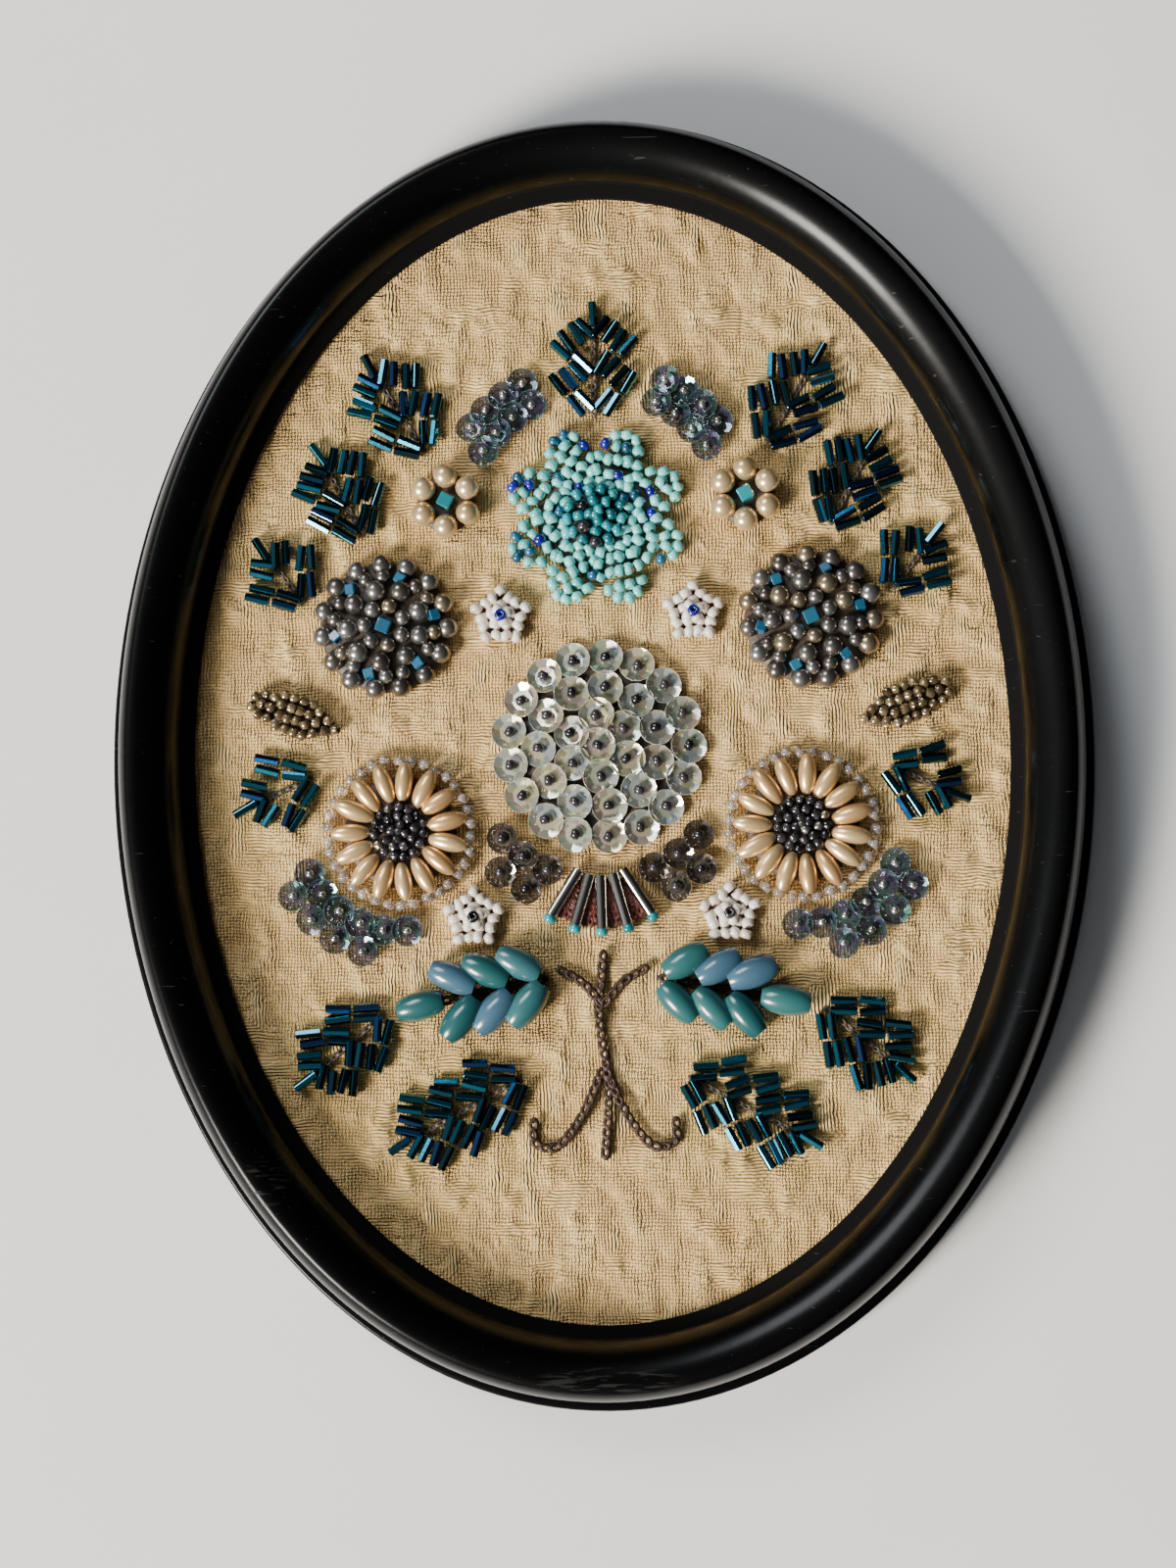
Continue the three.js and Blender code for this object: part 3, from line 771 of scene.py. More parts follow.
def moulding_section():
    """The frame's section: foot, ledge, steep shoulder, long inner slope and lip."""
    band, height, crest = FRAME["band"], FRAME["height"], FRAME["crest"]
    ledge, foot_round, foot = FRAME["ledge_top"], FRAME["foot_round"], FRAME["shoulder_foot"]
    lip_width, lip_top, lip_edge = FRAME["lip_width"], FRAME["lip_top"], FRAME["lip_edge"]
    wall = band - FRAME["ledge_width"]
    shoulder = quarter(crest, foot, wall - crest, height - foot, 0, 9)
    slope = quarter(crest, lip_top, crest - lip_width, height - lip_top, math.pi / 2, 16)
    edge = [
        (band - foot_round * (1 - math.cos(a)), ledge - foot_round * (1 - math.sin(a)))
        for a in (0, math.pi / 8, math.pi / 4, math.pi * 3 / 8, math.pi / 2)
    ]
    step = [(wall + 0.12, ledge - 0.02), (wall + 0.02, ledge - 0.3), (wall, ledge + 0.5)]
    lip = [
        (lip_width, lip_top - 0.25),
        (lip_width - 0.2, lip_top - 0.42),
        (0.35, lip_edge + 0.12),
        (0.1, lip_edge - 0.05),
        (0, lip_edge - 0.3),
    ]
    underside, rebate_width = FRAME["lip_underside"], FRAME["rebate_width"]
    rebate = [(0, underside), (rebate_width, underside), (rebate_width, 0)]
    foot_edge = [(band - 0.25, 0), (band, 0.25)]
    return [*foot_edge, *edge, *step, *shoulder, *list(slope)[1:], *lip, *rebate]


def oval_place(angle, out):
    """The point of the sight edge at that angle, moved out square to it, in millimetres."""
    width, length = OPENING["half_width"], OPENING["half_length"]
    across, along = math.cos(angle) / width, math.sin(angle) / length
    size = math.hypot(across, along)
    return width * math.cos(angle) + out * across / size, length * math.sin(angle) + out * along / size


def make_frame():
    """The section spun into a round ring, whose points then move to the oval."""
    section = moulding_section()
    round_radius = OPENING["half_length"]
    deselect()
    bpy.ops.mesh.primitive_circle_add(vertices=len(section), radius=MM, fill_type="NOTHING")
    piece = settle("lacquered_frame")
    for point, (out, height) in zip(piece.data.vertices, section):
        point.co = Vector((round_radius + out, 0, height)) * MM
    with Editing(piece):
        bpy.ops.mesh.select_mode(type="EDGE")
        bpy.ops.mesh.select_all(action="SELECT")
        bpy.ops.mesh.spin(steps=180, angle=2 * math.pi, center=(0, 0, 0), axis=(0, 0, 1))
        bpy.ops.mesh.select_all(action="SELECT")
        bpy.ops.mesh.remove_doubles(threshold=0.01 * MM)
        bpy.ops.mesh.normals_make_consistent(inside=False)
    lip = []
    for point in piece.data.vertices:
        angle = math.atan2(point.co.y, point.co.x)
        out = math.hypot(point.co.x, point.co.y) / MM - round_radius
        x, y = oval_place(angle, out)
        lip.append(out < FRAME["lip_width"] + 0.05)
        point.co = Vector((x * MM, y * MM, point.co.z))
    paint(piece, "lip", lip)
    smooth(piece, 38)
    piece.data.materials.append(FINISHES["lacquer"])
    ride_for(piece, "frame_moulding")


# The cloth


def pucker(x, y):
    """How far the cloth dips below its highest plane, as on the solid."""
    wave = np.sin(0.31 * x + 1.4 * np.sin(0.11 * y)) * np.sin(0.23 * y + 0.9)
    ripple = np.sin(0.12 * x - 0.34 * y + 2 * np.sin(0.07 * x))
    return CLOTH["relief"] * (0.5 + 0.3 * wave + 0.2 * ripple)


SLUBS = {"count": 560, "upright_share": 0.4, "height": 0.3}
CRINKLE = {"waves": 12, "turn": 1.9, "lengths": (4.2, 9), "height": 0.85}
CLOTH_GRID = (178, 244)


def slubs(x, y, chance):
    """Ridges of long threads: their height, and +1 along Y or -1 along X where they float."""
    rise = np.zeros_like(x)
    floats = np.zeros_like(x)
    for _ in range(SLUBS["count"]):
        middle_x = chance.uniform(-66, 66)
        middle_y = chance.uniform(-91, 91)
        upright = chance.random() < SLUBS["upright_share"]
        width = chance.uniform(0.7, 1.5)
        length = chance.uniform(1.2, 3.6)
        lean = chance.uniform(-0.25, 0.25)
        across, along = x - middle_x, y - middle_y
        if not upright:
            across, along = along, -across
        across = across + lean * along
        ridge = np.exp(-((across / width) ** 2) - (along / length) ** 2)
        rise += ridge * chance.uniform(0.35, 1.0)
        floats += (1 if upright else -1) * ridge
    return np.minimum(rise, 1.4) * SLUBS["height"], np.clip(floats * 1.4, -1, 1)


def crinkle(x, y, chance):
    """Small crumples of the cloth: crossing waves, bent by one another."""
    rise = np.zeros_like(x)
    bend = np.zeros_like(x)
    for _ in range(CRINKLE["waves"]):
        heading = chance.uniform(-1, 1) * CRINKLE["turn"]
        pace = 2 * math.pi / chance.uniform(*CRINKLE["lengths"])
        phase = chance.uniform(0, 2 * math.pi)
        wave = np.sin(pace * (x * math.cos(heading) + y * math.sin(heading)) + phase + bend)
        bend = bend * 0.6 + wave
        rise += wave
    return rise / CRINKLE["waves"] * CRINKLE["height"]


def make_cloth():
    """A grid drawn out to the oval, puckered and slubbed, then thickened downwards."""
    deselect()
    bpy.ops.mesh.primitive_grid_add(x_subdivisions=CLOTH_GRID[0], y_subdivisions=CLOTH_GRID[1], size=2)
    piece = settle("linen_sheet")
    mesh = piece.data
    flat = np.empty(len(mesh.vertices) * 3)
    mesh.vertices.foreach_get("co", flat)
    square = flat.reshape(-1, 3)
    u, v = square[:, 0].copy(), square[:, 1].copy()
    cut = FRAME["rebate_width"] - CLOTH["side_clearance"]
    half_width, half_length = OPENING["half_width"] + cut, OPENING["half_length"] + cut
    x = u * np.sqrt(1 - v * v / 2) * half_width
    y = v * np.sqrt(1 - u * u / 2) * half_length
    inside = np.hypot(x / half_width, y / half_length)
    free = np.clip((0.99 - inside) / 0.03, 0, 1)
    rise, floats = slubs(x, y, random.Random(3))
    crumple = crinkle(x, y, random.Random(5))
    height = CLOTH_TOP - 0.02 + (rise + crumple - 0.12 - pucker(x, y)) * free
    placed = np.column_stack([x, y, height]) * MM
    mesh.vertices.foreach_set("co", placed.ravel())
    paint(piece, "float", floats * free)
    paint(piece, "stain", stains(x, y))
    finish_with(piece, "SOLIDIFY", thickness=CLOTH["thickness"] * MM, offset=-1)
    smooth(piece, 80)
    piece.data.materials.append(FINISHES["linen"])
    ride_for(piece, "linen_cloth")
    size = [2 * half_width * MM, 2 * half_length * MM]
    area = math.pi / 4 * size[0] * size[1]


def stains(x, y):
    """Where the cloth has taken a tint from the stitches, beside the leafy sprays."""
    tint = np.zeros_like(x)
    for _, base_x, base_y, lean, length, _ in SPRAYS:
        for sign in SIDES.values():
            _, base, along, _ = rib(base_x, base_y, lean, sign)
            middle = base + along * length / 2
            away = np.hypot(x - middle.x, y - middle.y) / (length * 0.55)
            tint = np.maximum(tint, np.exp(-(away**2)))
    return tint


# The beadwork. Tables and functions follow the solids' own.

# Each spray: name, x and y of its base, lean, length, and the bugles in each pair of leaflets
SPRAYS = (
    ("spray_crown", 0, 54.6, 0, 18.4, (2, 2, 1)),
    ("spray_shoulder", 27.5, 49.5, 32, 18.4, (2, 2, 1)),
    ("spray_upper", 37.5, 36, 28, 17, (2, 2, 1)),
    ("spray_flank", 47.2, 25.4, 38, 13, (2, 1)),
    ("spray_side", 46.3, -3, 115, 13.5, (2, 1)),
    ("spray_lower", 35, -41, 130, 18, (2, 2, 1)),
    ("spray_foot", 13.4, -51.5, 118, 23.5, (2, 2, 2, 1)),
)
LEAFLET = {"angle": 0.66, "start": 0.6, "tip": 6.4, "abreast": 0.86}


def rib(x, y, lean, sign):
    """A branch's turn from +Y, its base, and the directions along it and to its side."""
    yaw = -sign * math.radians(lean)
    along = Vector((-math.sin(yaw), math.cos(yaw)))
    return yaw, Vector((sign * x, y)), along, Vector((along.y, -along.x))


def make_spray(name, node, sign, x, y, lean, length, leaflets):
    """A leafy spray: each leaflet is a bundle of bugles, two abreast, beside a stitched rib."""
    group = Group()
    yaw, base, along, side = rib(x, y, lean, sign)
    height = CLOTH_TOP + GAP + BUGLE["radius"] * 0.9
    step = (length - LEAFLET["tip"]) / (len(leaflets) - 1)

    def bugle(at, out, turn):
        spot = base + along * at + side * out
        place = (spot.x, spot.y, height + sway(0.12))
        turns = {"yaw": yaw - turn + sway(0.15), "pitch": sway(0.08), "roll": sway(1.5)}
        group.lay("bugle", "petrol", *place, **turns, size=0.92 + sway(0.03))

    for i, count in enumerate(leaflets):
        for hand in (-1, 1):
            turn = hand * LEAFLET["angle"]
            for row in (-LEAFLET["abreast"], LEAFLET["abreast"]):
                slip = sway(0.35)
                for k in range(count):
                    reach = (k + 0.5) * BUGLE["length"] * 1.02 + slip
                    off = row + sway(0.06)
                    at = i * step + reach * math.cos(turn) - hand * off * math.sin(turn)
                    out = hand * LEAFLET["start"] + reach * math.sin(turn) + hand * off * math.cos(turn)
                    bugle(at, out, turn)
    bugle(length - BUGLE["length"] * 0.45, 0, 0)
    end = base + along * (length - BUGLE["length"])
    sew_line(group, [base[:], end[:]], "fine_stitch", "ground", 1.35, 0.35)
    group.join(name, node, "petrol_bugles")


def sew_line(group, points, shape, finish, spacing, lift):
    """Chain stitches along a smooth line through the points."""
    for (x, y), heading in walk(points, spacing):
        yaw = heading - math.pi / 2 + sway(0.12)
        group.lay(shape, finish, x, y, CLOTH_TOP + lift, yaw=yaw, pitch=0.12, size=1 + sway(0.08))


def walk(points, spacing):
    """Evenly spaced places along a smooth line through the points, with the heading at each."""
    curve = smooth_line(points)
    distance, ahead = 0.0, spacing / 2
    for start, end in zip(curve, curve[1:]):
        stretch = math.dist(start, end)
        while distance + stretch > ahead:
            share = (ahead - distance) / stretch
            spot = [a + (b - a) * share for a, b in zip(start, end)]
            yield spot, math.atan2(end[1] - start[1], end[0] - start[0])
            ahead += spacing
        distance += stretch


def smooth_line(points, steps=8):
    """A Catmull-Rom line through the points."""
    if len(points) < 3:
        return points
    first = [2 * a - b for a, b in zip(points[0], points[1])]
    last = [2 * a - b for a, b in zip(points[-1], points[-2])]
    knots = [first, *points, last]
    line = []
    for row in zip(knots, knots[1:], knots[2:], knots[3:]):
        for i in range(steps):
            line.append([curve_point(i / steps, *values) for values in zip(*row)])
    return [*line, list(points[-1])]


def curve_point(t, p, q, r, s):
    """How far a curve has come at t, from 0 at q to 1 at r, with p before and s after them."""
    return q + 0.5 * t * (r - p + t * (2 * p - 5 * q + 4 * r - s + t * (3 * (q - r) + s - p)))


DAHLIA = {
    "x": 0,
    "y": 1,
    "pad": {"radius": 15.2, "height": 1.4},
    "rings": ((17, 14.4, 6.9), (11, 9.6, 7.7), (6, 4.9, 8.4), (1, 0, 9.0)),
    "tip": 0.2,
}


def make_dahlia():
    """Rings of pearly sequins, each tipped out and held by a dark bead."""
    x, y = DAHLIA["x"], DAHLIA["y"]
    group = Group(x=x, y=y, **DAHLIA["pad"])
    for row, (count, radius, rim) in enumerate(DAHLIA["rings"]):
        for angle, dx, dy in ring_of(count, radius, row * 0.3):
            tip = -DAHLIA["tip"] if radius else 0
            place = (x + dx + sway(0.2), y + dy + sway(0.2), rim - 0.1)
            turns = {"yaw": angle - math.pi / 2, "pitch": tip + sway(0.08), "roll": sway(0.12)}
            group.lay("large_sequin", "shell", *place, **turns)
            group.lay("seed", "jet", x + dx, y + dy, rim + 0.05, yaw=any_turn(), size=0.95)
    group.join("sequin_dahlia_beads", "sequin_dahlia", "shell_sequins")


def fill_oval(half_width, half_length, spacing):
    """Places on rings from an oval's edge to its middle, each with its share of the way out."""
    inset = spacing / 2
    while min(half_width, half_length) - inset > spacing * 0.35:
        a, b = half_width - inset, half_length - inset
        around = math.pi * (3 * (a + b) - math.sqrt((3 * a + b) * (a + 3 * b)))
        count = max(3, int(around / spacing))
        turn = random.random()
        for i in range(count):
            angle = (i + turn) * 2 * math.pi / count
            out = math.hypot(a / half_width, b / half_length) / 1.414
            yield a * math.cos(angle), b * math.sin(angle), out
        inset += spacing * 0.88
    yield 0.0, 0.0, 0.0


def seed_cushion(group, x, y, size, rise, yaw, finishes, shape="seed", spacing=2.0, low=None):
    """An oval cushion filled with seed beads. Finishes are given with their chances."""
    names, chances = list(finishes), list(finishes.values())
    base = CLOTH_TOP + SEED["radius"] if low is None else low
    for dx, dy, out in fill_oval(*size, spacing):
        spot_x = x + dx * math.cos(yaw) - dy * math.sin(yaw)
        spot_y = y + dx * math.sin(yaw) + dy * math.cos(yaw)
        finish = random.choices(names, chances)[0]
        place = (spot_x + sway(0.12), spot_y + sway(0.12), base + rise * (1 - out**2) + sway(0.1))
        turns = {"yaw": random.uniform(0, math.pi), "pitch": sway(0.35)}
        group.lay(shape, finish, *place, **turns, size=1 + sway(0.07))


DAISY = {
    "x": 0,
    "y": 38,
    "pad": {"radius": 9.5, "height": 1.3},
    "petals": 8,
    "length": 11,
    "width": 8.4,
    "reach": 9.7,
    "eye": 5.4,
}
PETAL_BEADS = {"turquoise": 0.86, "petrol_seed": 0.1, "cobalt": 0.04}
EYE_BEADS = {"teal": 0.85, "jet": 0.15}


def make_daisy():
    """Petals and eye filled with seed beads."""
    x, y = DAISY["x"], DAISY["y"]
    group = Group(x=x, y=y, **DAISY["pad"])
    petal = (DAISY["length"] / 2, DAISY["width"] / 2)
    for angle, dx, dy in ring_of(DAISY["petals"], DAISY["reach"], math.pi / DAISY["petals"]):
        seed_cushion(group, x + dx, y + dy, petal, 0.55, angle, PETAL_BEADS)
    eye = (DAISY["eye"], DAISY["eye"])
    seed_cushion(group, x, y, eye, 1.0, 0, EYE_BEADS, low=STITCH_TOP + 0.9)
    group.join("seed_daisy_beads", "seed_daisy", "turquoise_beads")


ROSETTE = {
    "x": 34,
    "y": 21,
    "pad": {"radius": 10.6, "height": 1.6},
    "rings": ((15, 10.0, 0.6), (9, 6.0, 1.5)),
    "between": (18, 8.05, 0.2),
    "heart": (7, 3.2, 0.4),
}


def make_rosette(name, node, sign):
    """Gunmetal pearls in rings round a cube bead, with small beads between the rings."""
    x, y = sign * ROSETTE["x"], ROSETTE["y"]
    group = Group(x=x, y=y, **ROSETTE["pad"])
    for count, radius, lift in ROSETTE["rings"]:
        for _, dx, dy in ring_of(count, radius, radius):
            place = (x + dx + sway(0.15), y + dy + sway(0.15), STITCH_TOP + lift - 0.1)
            turns = {"yaw": any_turn(), "pitch": sway(0.5)}
            group.lay("pearl", "gunmetal", *place, **turns, size=1 - random.random() * 0.1)
    for i, (_, dx, dy) in enumerate(ring_of(*ROSETTE["between"])):
        shape, finish = ("small_cube", "petrol_seed") if i % 3 == 0 else ("small_pearl", "gunmetal")
        group.lay(shape, finish, x + dx, y + dy, STITCH_TOP + 1.2, yaw=any_turn(), pitch=sway(0.4))
    for angle, dx, dy in ring_of(*ROSETTE["heart"]):
        group.lay("small_pearl", "gunmetal", x + dx, y + dy, STITCH_TOP + 1.5, yaw=angle, size=1.1)
    group.lay("cube", "petrol_seed", x, y, STITCH_TOP + 1.9, yaw=0.4 * sign, pitch=0.1)
    group.join(name, node, "gunmetal_pearls")


RICE_DAISY = {
    "x": 32,
    "y": -12,
    "pad": {"radius": 9, "height": 1.1},
    "petals": 15,
    "reach": 7.9,
    "eye": 4.7,
}
RICE_TIPS = (34, 11.5, 0.1)
RICE_EYE_BEADS = {"jet": 0.8, "gunmetal": 0.2}


def make_rice_daisy(name, node, sign):
    """Long pearls round a dark eye, with clear beads round their tips."""
    x, y = sign * RICE_DAISY["x"], RICE_DAISY["y"]
    group = Group(x=x, y=y, **RICE_DAISY["pad"])
    for angle, dx, dy in ring_of(RICE_DAISY["petals"], RICE_DAISY["reach"], 0.2):
        place = (x + dx + sway(0.15), y + dy + sway(0.15), STITCH_TOP + 0.9)
        turns = {"yaw": angle - math.pi / 2 + sway(0.08), "pitch": 0.08 + sway(0.05)}
        group.lay("rice", "champagne", *place, **turns, size=1 + sway(0.05))
    eye = (RICE_DAISY["eye"], RICE_DAISY["eye"])
    seed_cushion(group, x, y, eye, 1.0, 0, RICE_EYE_BEADS, "fine_seed", 1.6, STITCH_TOP + 0.85)
    for _, dx, dy in ring_of(*RICE_TIPS):
        place = (x + dx + sway(0.2), y + dy + sway(0.2), CLOTH_TOP + 1)
        group.lay("seed", "clear", *place, yaw=any_turn())
    group.join(name, node, "champagne_pearls")


BLOSSOMS = (("seed_blossom_upper", 15.4, 22.3), ("seed_blossom_lower", 20.3, -25.8))
BLOSSOM = {
    "pad": {"radius": 3.6, "height": 0.9, "finish": "rust"},
    "petals": 5,
    "reach": 2.9,
    "petal": (4, 1.25),
    "eye": (4, 1.1),
}


def make_blossom(name, node, sign, x, y):
    """A small blossom of white seed beads round a dark or blue bead."""
    x = sign * x
    group = Group(x=x, y=y, **BLOSSOM["pad"])
    for angle, dx, dy in ring_of(BLOSSOM["petals"], BLOSSOM["reach"], math.pi / 2):
        for _, px, py in ring_of(*BLOSSOM["petal"], angle):
            place = (x + dx + px, y + dy + py, CLOTH_TOP + 1.15 + sway(0.1))
            group.lay("seed", "milk", *place, yaw=any_turn(), pitch=sway(0.3))
    for _, dx, dy in ring_of(*BLOSSOM["eye"], 0.5):
        group.lay("seed", "milk", x + dx, y + dy, STITCH_TOP + 0.75, yaw=any_turn())
    group.lay("seed", "cobalt" if y > 0 else "jet", x, y, STITCH_TOP + 1.3, pitch=1.3)
    group.join(name, node, "milk_beads")


POSY = {"x": 24, "y": 41, "pad": {"radius": 4.8, "height": 0.9}, "count": 6, "reach": 4.1}


def make_posy(name, node, sign):
    """Cream pearls round a cube bead."""
    x, y = sign * POSY["x"], POSY["y"]
    group = Group(x=x, y=y, **POSY["pad"])
    for angle, dx, dy in ring_of(POSY["count"], POSY["reach"], math.pi / 2):
        place = (x + dx, y + dy, STITCH_TOP + 1.15)
        group.lay("cream_pearl", "cream", *place, yaw=angle, size=1 - random.random() * 0.06)
    group.lay("cube", "teal", x, y, STITCH_TOP + 1.0, yaw=0.5 * sign)
    group.join(name, node, "champagne_pearls")


EAR = {"x": 9, "y": -35.8, "lean": 101, "length": 24, "pairs": 3, "spread": 0.62, "reach": 3.3}


def make_ear(name, node, sign):
    """Oval beads in pairs along a stitched rib, and one at its tip."""
    group = Group()
    yaw, base, along, side = rib(EAR["x"], EAR["y"], EAR["lean"], sign)
    step = (EAR["length"] - OVAL["length"]) / EAR["pairs"]

    def oval(at, out, turn):
        spot = base + along * at + side * out
        place = (spot.x, spot.y, STITCH_TOP + OVAL["radius"] * 0.6 + sway(0.1))
        turns = {"yaw": yaw - turn + sway(0.1), "pitch": sway(0.06)}
        group.lay("oval", "lagoon", *place, **turns, size=1 - random.random() * 0.07)

    for i in range(EAR["pairs"]):
        for hand in (-1, 1):
            oval(3.6 + i * step, hand * EAR["reach"], hand * EAR["spread"])
    oval(EAR["length"] - 3.8, 0, 0)
    tip = base + along * (EAR["length"] - 6)
    sew_line(group, [base[:], tip[:]], "stitch", "brown", 1.7, 0.5)
    group.join(name, node, "lagoon_beads")


LEAF = {
    "x": 41,
    "y": 4.2,
    "lean": 70,
    "length": 17,
    "width": 7.6,
    "pad": {"radius": 2.6, "height": 1.0, "half_length": 7.2},
    "row_step": 1.55,
    "bead_step": 1.75,
}


def make_leaf(name, node, sign):
    """A pointed leaf filled with taupe glass beads."""
    yaw, base, along, side = rib(LEAF["x"], LEAF["y"], LEAF["lean"], sign)
    middle = base + along * LEAF["length"] / 2
    group = Group(x=middle.x, y=middle.y, yaw=yaw, **LEAF["pad"])
    at = 1.3
    while at < LEAF["length"] - 0.8:
        t = at / LEAF["length"]
        half = LEAF["width"] * 0.98 * t * (1 - t) * 2 * 0.9 + 0.2
        count = max(1, round(2 * half / LEAF["bead_step"]))
        for i in range(count):
            out = (i - (count - 1) / 2) * LEAF["bead_step"]
            spot = base + along * (at + sway(0.15)) + side * out
            rise = 1.5 * (1 - (out / (half + 0.8)) ** 2) * math.sqrt(t * (1 - t)) * 2
            place = (spot.x, spot.y, CLOTH_TOP + 0.9 + rise * 0.6)
            group.lay("fine_seed", "taupe", *place, yaw=any_turn(), pitch=sway(0.5), size=1.08)
        at += LEAF["row_step"]
    group.join(name, node, "taupe_beads")


# Each band: name, middle, and its arcs' radius, first and last angle and count of sequins
BANDS = (
    ("sequin_band_upper", 0, 37.5, ((21.4, 33, 62, 4), (25.2, 38, 63, 4))),
    ("sequin_band_lower", 32, -12, ((15.8, -94, -24, 6), (19.8, -72, -30, 4))),
)


def sew_sequin(group, x, y, height, finish, turns, bead, lift, size, thread):
    """A small sequin held by a bead, with a stitch under it."""
    group.lay("small_sequin", finish, x, y, height, **turns)
    group.lay("seed", bead, x, y, height + lift, yaw=any_turn(), size=size)
    group.lay("fine_stitch", thread, x, y, CLOTH_TOP + 0.35, yaw=any_turn())


def make_band(name, node, sign, x, y, rows):
    """Misty sequins in two rows on arcs, each held by a clear bead."""
    group = Group()
    for radius, start, end, count in rows:
        for i in range(count):
            angle = math.radians(start + (end - start) * i / (count - 1))
            spot = (sign * (x + radius * math.cos(angle)), y + radius * math.sin(angle))
            lean = 0.18 * (-1) ** i + sway(0.08)
            height = SMALL_RIM - 0.25 + sway(0.1)
            turns = {"yaw": any_turn(6), "pitch": lean, "roll": sway(0.1)}
            sew_sequin(group, *spot, height, "mist", turns, "crystal", 0.1, 0.75, "ground")
    group.join(name, node, "mist_sequins")


CUPS = ((21.2, (-42.5, -54.5, -66.5)), (25.4, (-51, -62)))


def make_cups(name, node, sign):
    """Deep smoky sequins under the middle flower, each with a dark bead."""
    group = Group()
    for radius, angles in CUPS:
        for angle in map(math.radians, angles):
            spot = (sign * radius * math.cos(angle), DAHLIA["y"] + radius * math.sin(angle))
            turns = {"yaw": any_turn(6), "pitch": sway(0.2), "roll": sway(0.2)}
            sew_sequin(group, *spot, SMALL_RIM - 0.2, "smoke", turns, "jet", 0.15, 0.9, "rust")
    group.join(name, node, "smoky_sequins")


FAN = {
    "x": 0,
    "y": -12.5,
    "pad": {"radius": 7.6, "height": 0.6, "finish": "rust", "half_length": 3.8},
    "count": 5,
    "spread": 0.27,
    "reach": 11.2,
}


def make_fan():
    """Long silver-lined bugles under the middle flower, each ended by a teal bead."""
    middle_y = FAN["y"] - FAN["reach"]
    group = Group(x=FAN["x"], y=middle_y, **FAN["pad"])
    for x, y, _ in fill_oval(7.4, 3.7, 1.15):
        turns = {"yaw": sway(0.5), "pitch": sway(0.15)}
        group.lay("fine_stitch", "rust", x, middle_y + y, STITCH_TOP - 0.25, **turns, size=1.1)
    for i in range(FAN["count"]):
        yaw = math.pi + (i - (FAN["count"] - 1) / 2) * FAN["spread"]
        along = Vector((-math.sin(yaw), math.cos(yaw)))
        middle = Vector((FAN["x"], FAN["y"])) + along * FAN["reach"]
        end = middle + along * (LONG_BUGLE["length"] / 2 + 0.5)
        height = STITCH_TOP + LONG_BUGLE["radius"] * 0.5
        group.lay("long_bugle", "silver", *middle, height, yaw=yaw + sway(0.03), roll=sway(1))
        group.lay("seed", "teal", *end, height, yaw=yaw)
    group.join("bugle_fan_beads", "bugle_fan", "silver_bugles")


STEMS = {
    "middle": ((0.2, -31.5), (-0.6, -42), (0.7, -53), (0, -64)),
    "scroll": ((0.2, -50), (3.4, -57), (7.4, -62), (11, -61.5), (11.2, -58)),
    "branch": ((0, -40), (3.2, -36.4), (6.6, -34.4)),
}
STEM_STITCH = ("stitch", "brown", 1.55, 0.75)


def make_stems():
    """Chain stitch in brown metal thread."""
    group = Group()
    sew_line(group, STEMS["middle"], *STEM_STITCH)
    for sign in SIDES.values():
        for line in ("scroll", "branch"):
            points = [(sign * x, y) for x, y in STEMS[line]]
            sew_line(group, points, *STEM_STITCH)
    group.join("stem_stitches", "stitched_stems", "brown_thread")


def both_sides(make, name, *row):
    """The left and right copies of a piece."""
    for side, sign in SIDES.items():
        make(f"{name}_{side}_beads", f"{name}_{side}", sign, *row)


PAIRS = {
    "pearl_rosette": make_rosette,
    "rice_daisy": make_rice_daisy,
    "pearl_posy": make_posy,
    "oval_ear": make_ear,
    "seed_leaf": make_leaf,
    "smoky_cups": make_cups,
}


def make_beadwork():
    make_dahlia()
    make_daisy()
    make_fan()
    make_stems()
    for name, make in PAIRS.items():
        both_sides(make, name)
    for make, rows in ((make_blossom, BLOSSOMS), (make_band, BANDS)):
        for name, *row in rows:
            both_sides(make, name, *row)
    crown, *others = SPRAYS
    make_spray("spray_crown_beads", "spray_crown", 1, *crown[1:])
    for name, *row in others:
        both_sides(make_spray, name, *row)


# Camera, light and floor

IMAGE = {"height": 1600, "focal_pixels": 2993}
CAMERA = {"place": (24.2, -44.6, 470), "target": (-1.99, -4.72, 4), "roll": -0.86}


def make_camera():
    data = bpy.data.cameras.new("camera")
    camera = bpy.data.objects.new("camera", data)
    bpy.context.collection.objects.link(camera)
    data.sensor_fit = "VERTICAL"
    data.sensor_width = 36
    data.sensor_height = 36
    data.lens = IMAGE["focal_pixels"] / IMAGE["height"] * data.sensor_height
    data.clip_start = 0.01
    place = Vector(CAMERA["place"]) * MM
    back = (place - Vector(CAMERA["target"]) * MM).normalized()
    right = Vector((0, 1, 0)).cross(back).normalized()
    up = back.cross(right)
    turn = Matrix((right, up, back)).transposed().to_4x4()
    roll = Matrix.Rotation(math.radians(CAMERA["roll"]), 4, "Z")
    camera.matrix_world = Matrix.Translation(place) @ turn @ roll
    bpy.context.scene.camera = camera


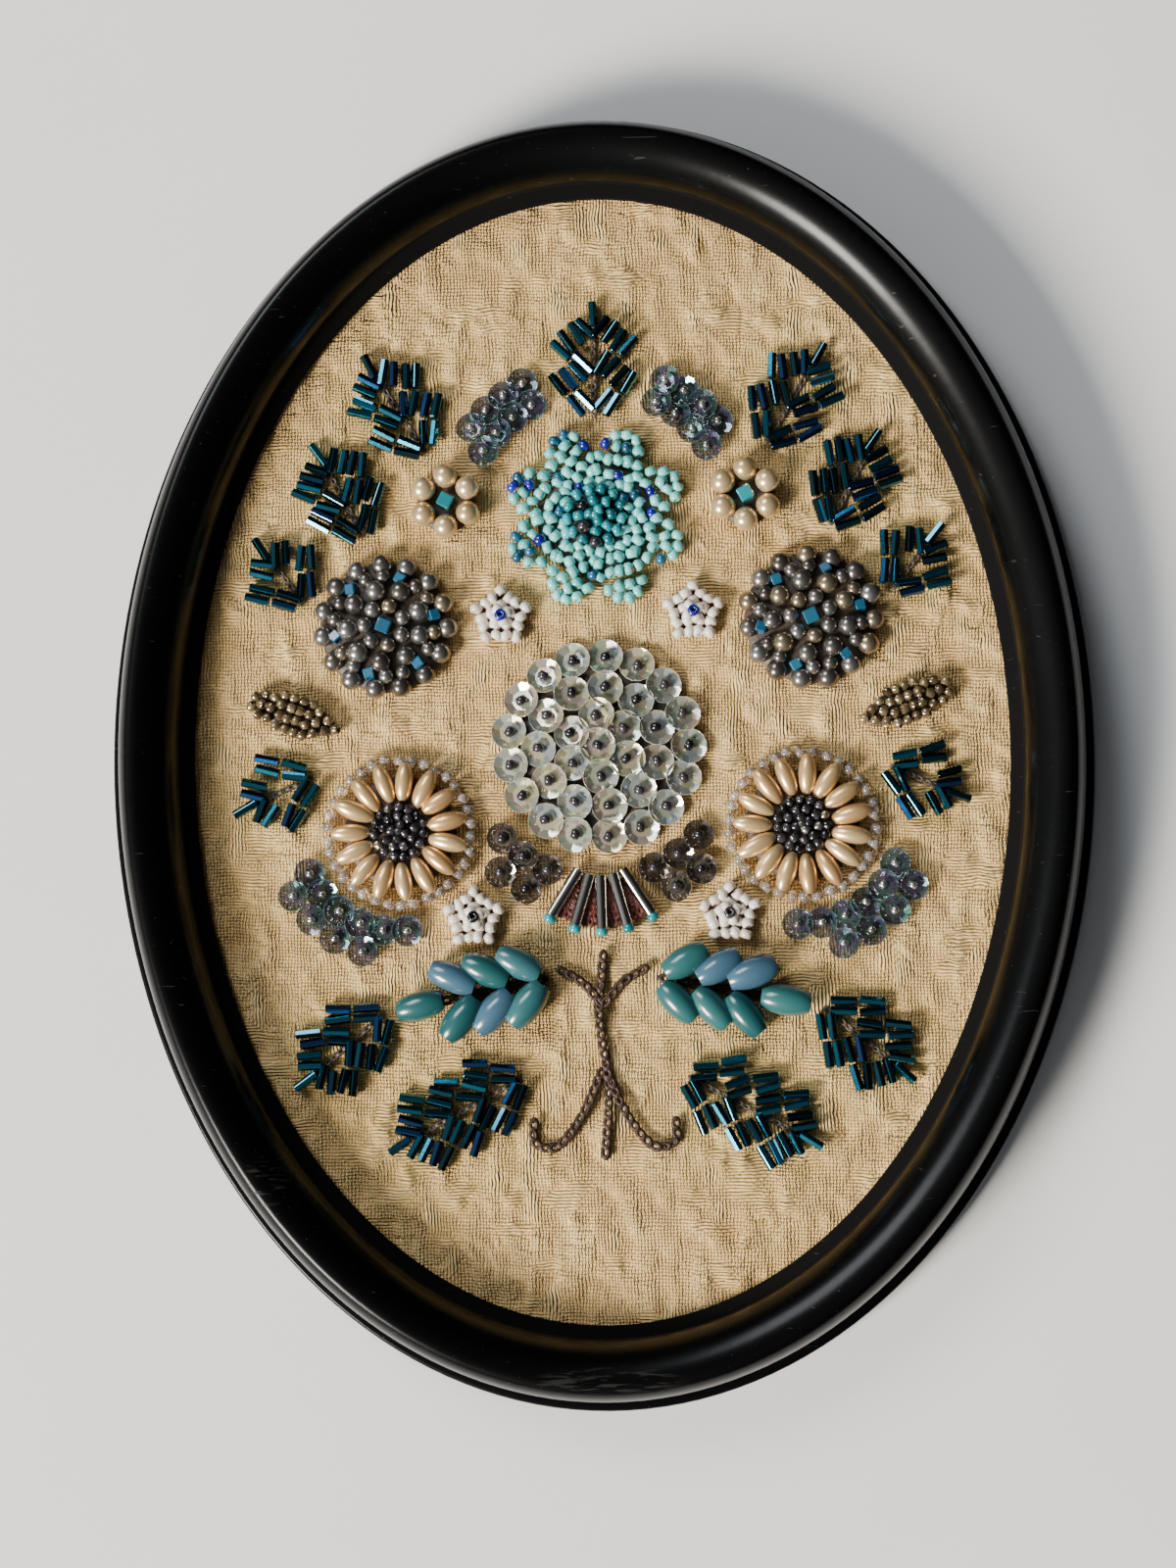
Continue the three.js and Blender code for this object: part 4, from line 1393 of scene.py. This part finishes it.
LIGHTS = (
    # name, place, size, watts and colour
    ("window", (-1.3, -1.0, 1.05), (0.6, 0.6), 108, (1.0, 0.95, 0.87)),
    ("sky", (-1.05, 1.1, 1.45), (0.9, 0.8), 27, (0.90, 0.95, 1.0)),
)


def make_lights():
    for name, place, size, power, colour in LIGHTS:
        data = bpy.data.lights.new(name, "AREA")
        data.shape = "RECTANGLE"
        data.size, data.size_y = size
        data.energy = power
        data.color = colour
        light = bpy.data.objects.new(name, data)
        bpy.context.collection.objects.link(light)
        light.location = place
        light.rotation_euler = (-Vector(place)).to_track_quat("-Z", "Y").to_euler()
    make_world()


WORLD = {"brightest": (-0.75, -0.5, 0.4), "dim": 0.03, "bright": 0.5}


def make_world():
    """Soft light all round, brighter from the window's side."""
    world = bpy.data.worlds.new("studio")
    world.use_nodes = True
    tree = world.node_tree
    place = tree.nodes.new("ShaderNodeTexCoord")
    facing = tree.nodes.new("ShaderNodeVectorMath")
    facing.operation = "DOT_PRODUCT"
    facing.inputs[1].default_value = Vector(WORLD["brightest"]).normalized()
    blend = tree.nodes.new("ShaderNodeMapRange")
    blend.interpolation_type = "SMOOTHSTEP"
    for socket, value in zip(blend.inputs[1:5], (0.1, 1, WORLD["dim"], WORLD["bright"])):
        socket.default_value = value
    background = tree.nodes["Background"]
    background.inputs[0].default_value = (0.88, 0.94, 1.0, 1)
    tree.links.new(place.outputs["Generated"], facing.inputs[0])
    tree.links.new(facing.outputs["Value"], blend.inputs[0])
    tree.links.new(blend.outputs[0], background.inputs[1])
    bpy.context.scene.world = world


def make_floor():
    deselect()
    bpy.ops.mesh.primitive_plane_add(size=4)
    floor = settle("floor")
    finish = Finish("pale_floor")
    colour = finish.mix(finish.noise(0.02, 3), (0.70, 0.69, 0.68), (0.76, 0.75, 0.74))
    floor.data.materials.append(finish.surface(Base_Color=colour, Roughness=0.9))


FINISHES = make_finishes()
SHAPES = {name: make(name, *sizes) for name, (make, *sizes) in SHAPE_SIZES.items()}
make_camera()
make_lights()
make_floor()
make_frame()
make_cloth()
bpy.data.objects["backing_board"].data.materials.clear()
bpy.data.objects["backing_board"].data.materials.append(FINISHES["card"])
make_beadwork()
for shape in SHAPES.values():
    bpy.data.objects.remove(shape)
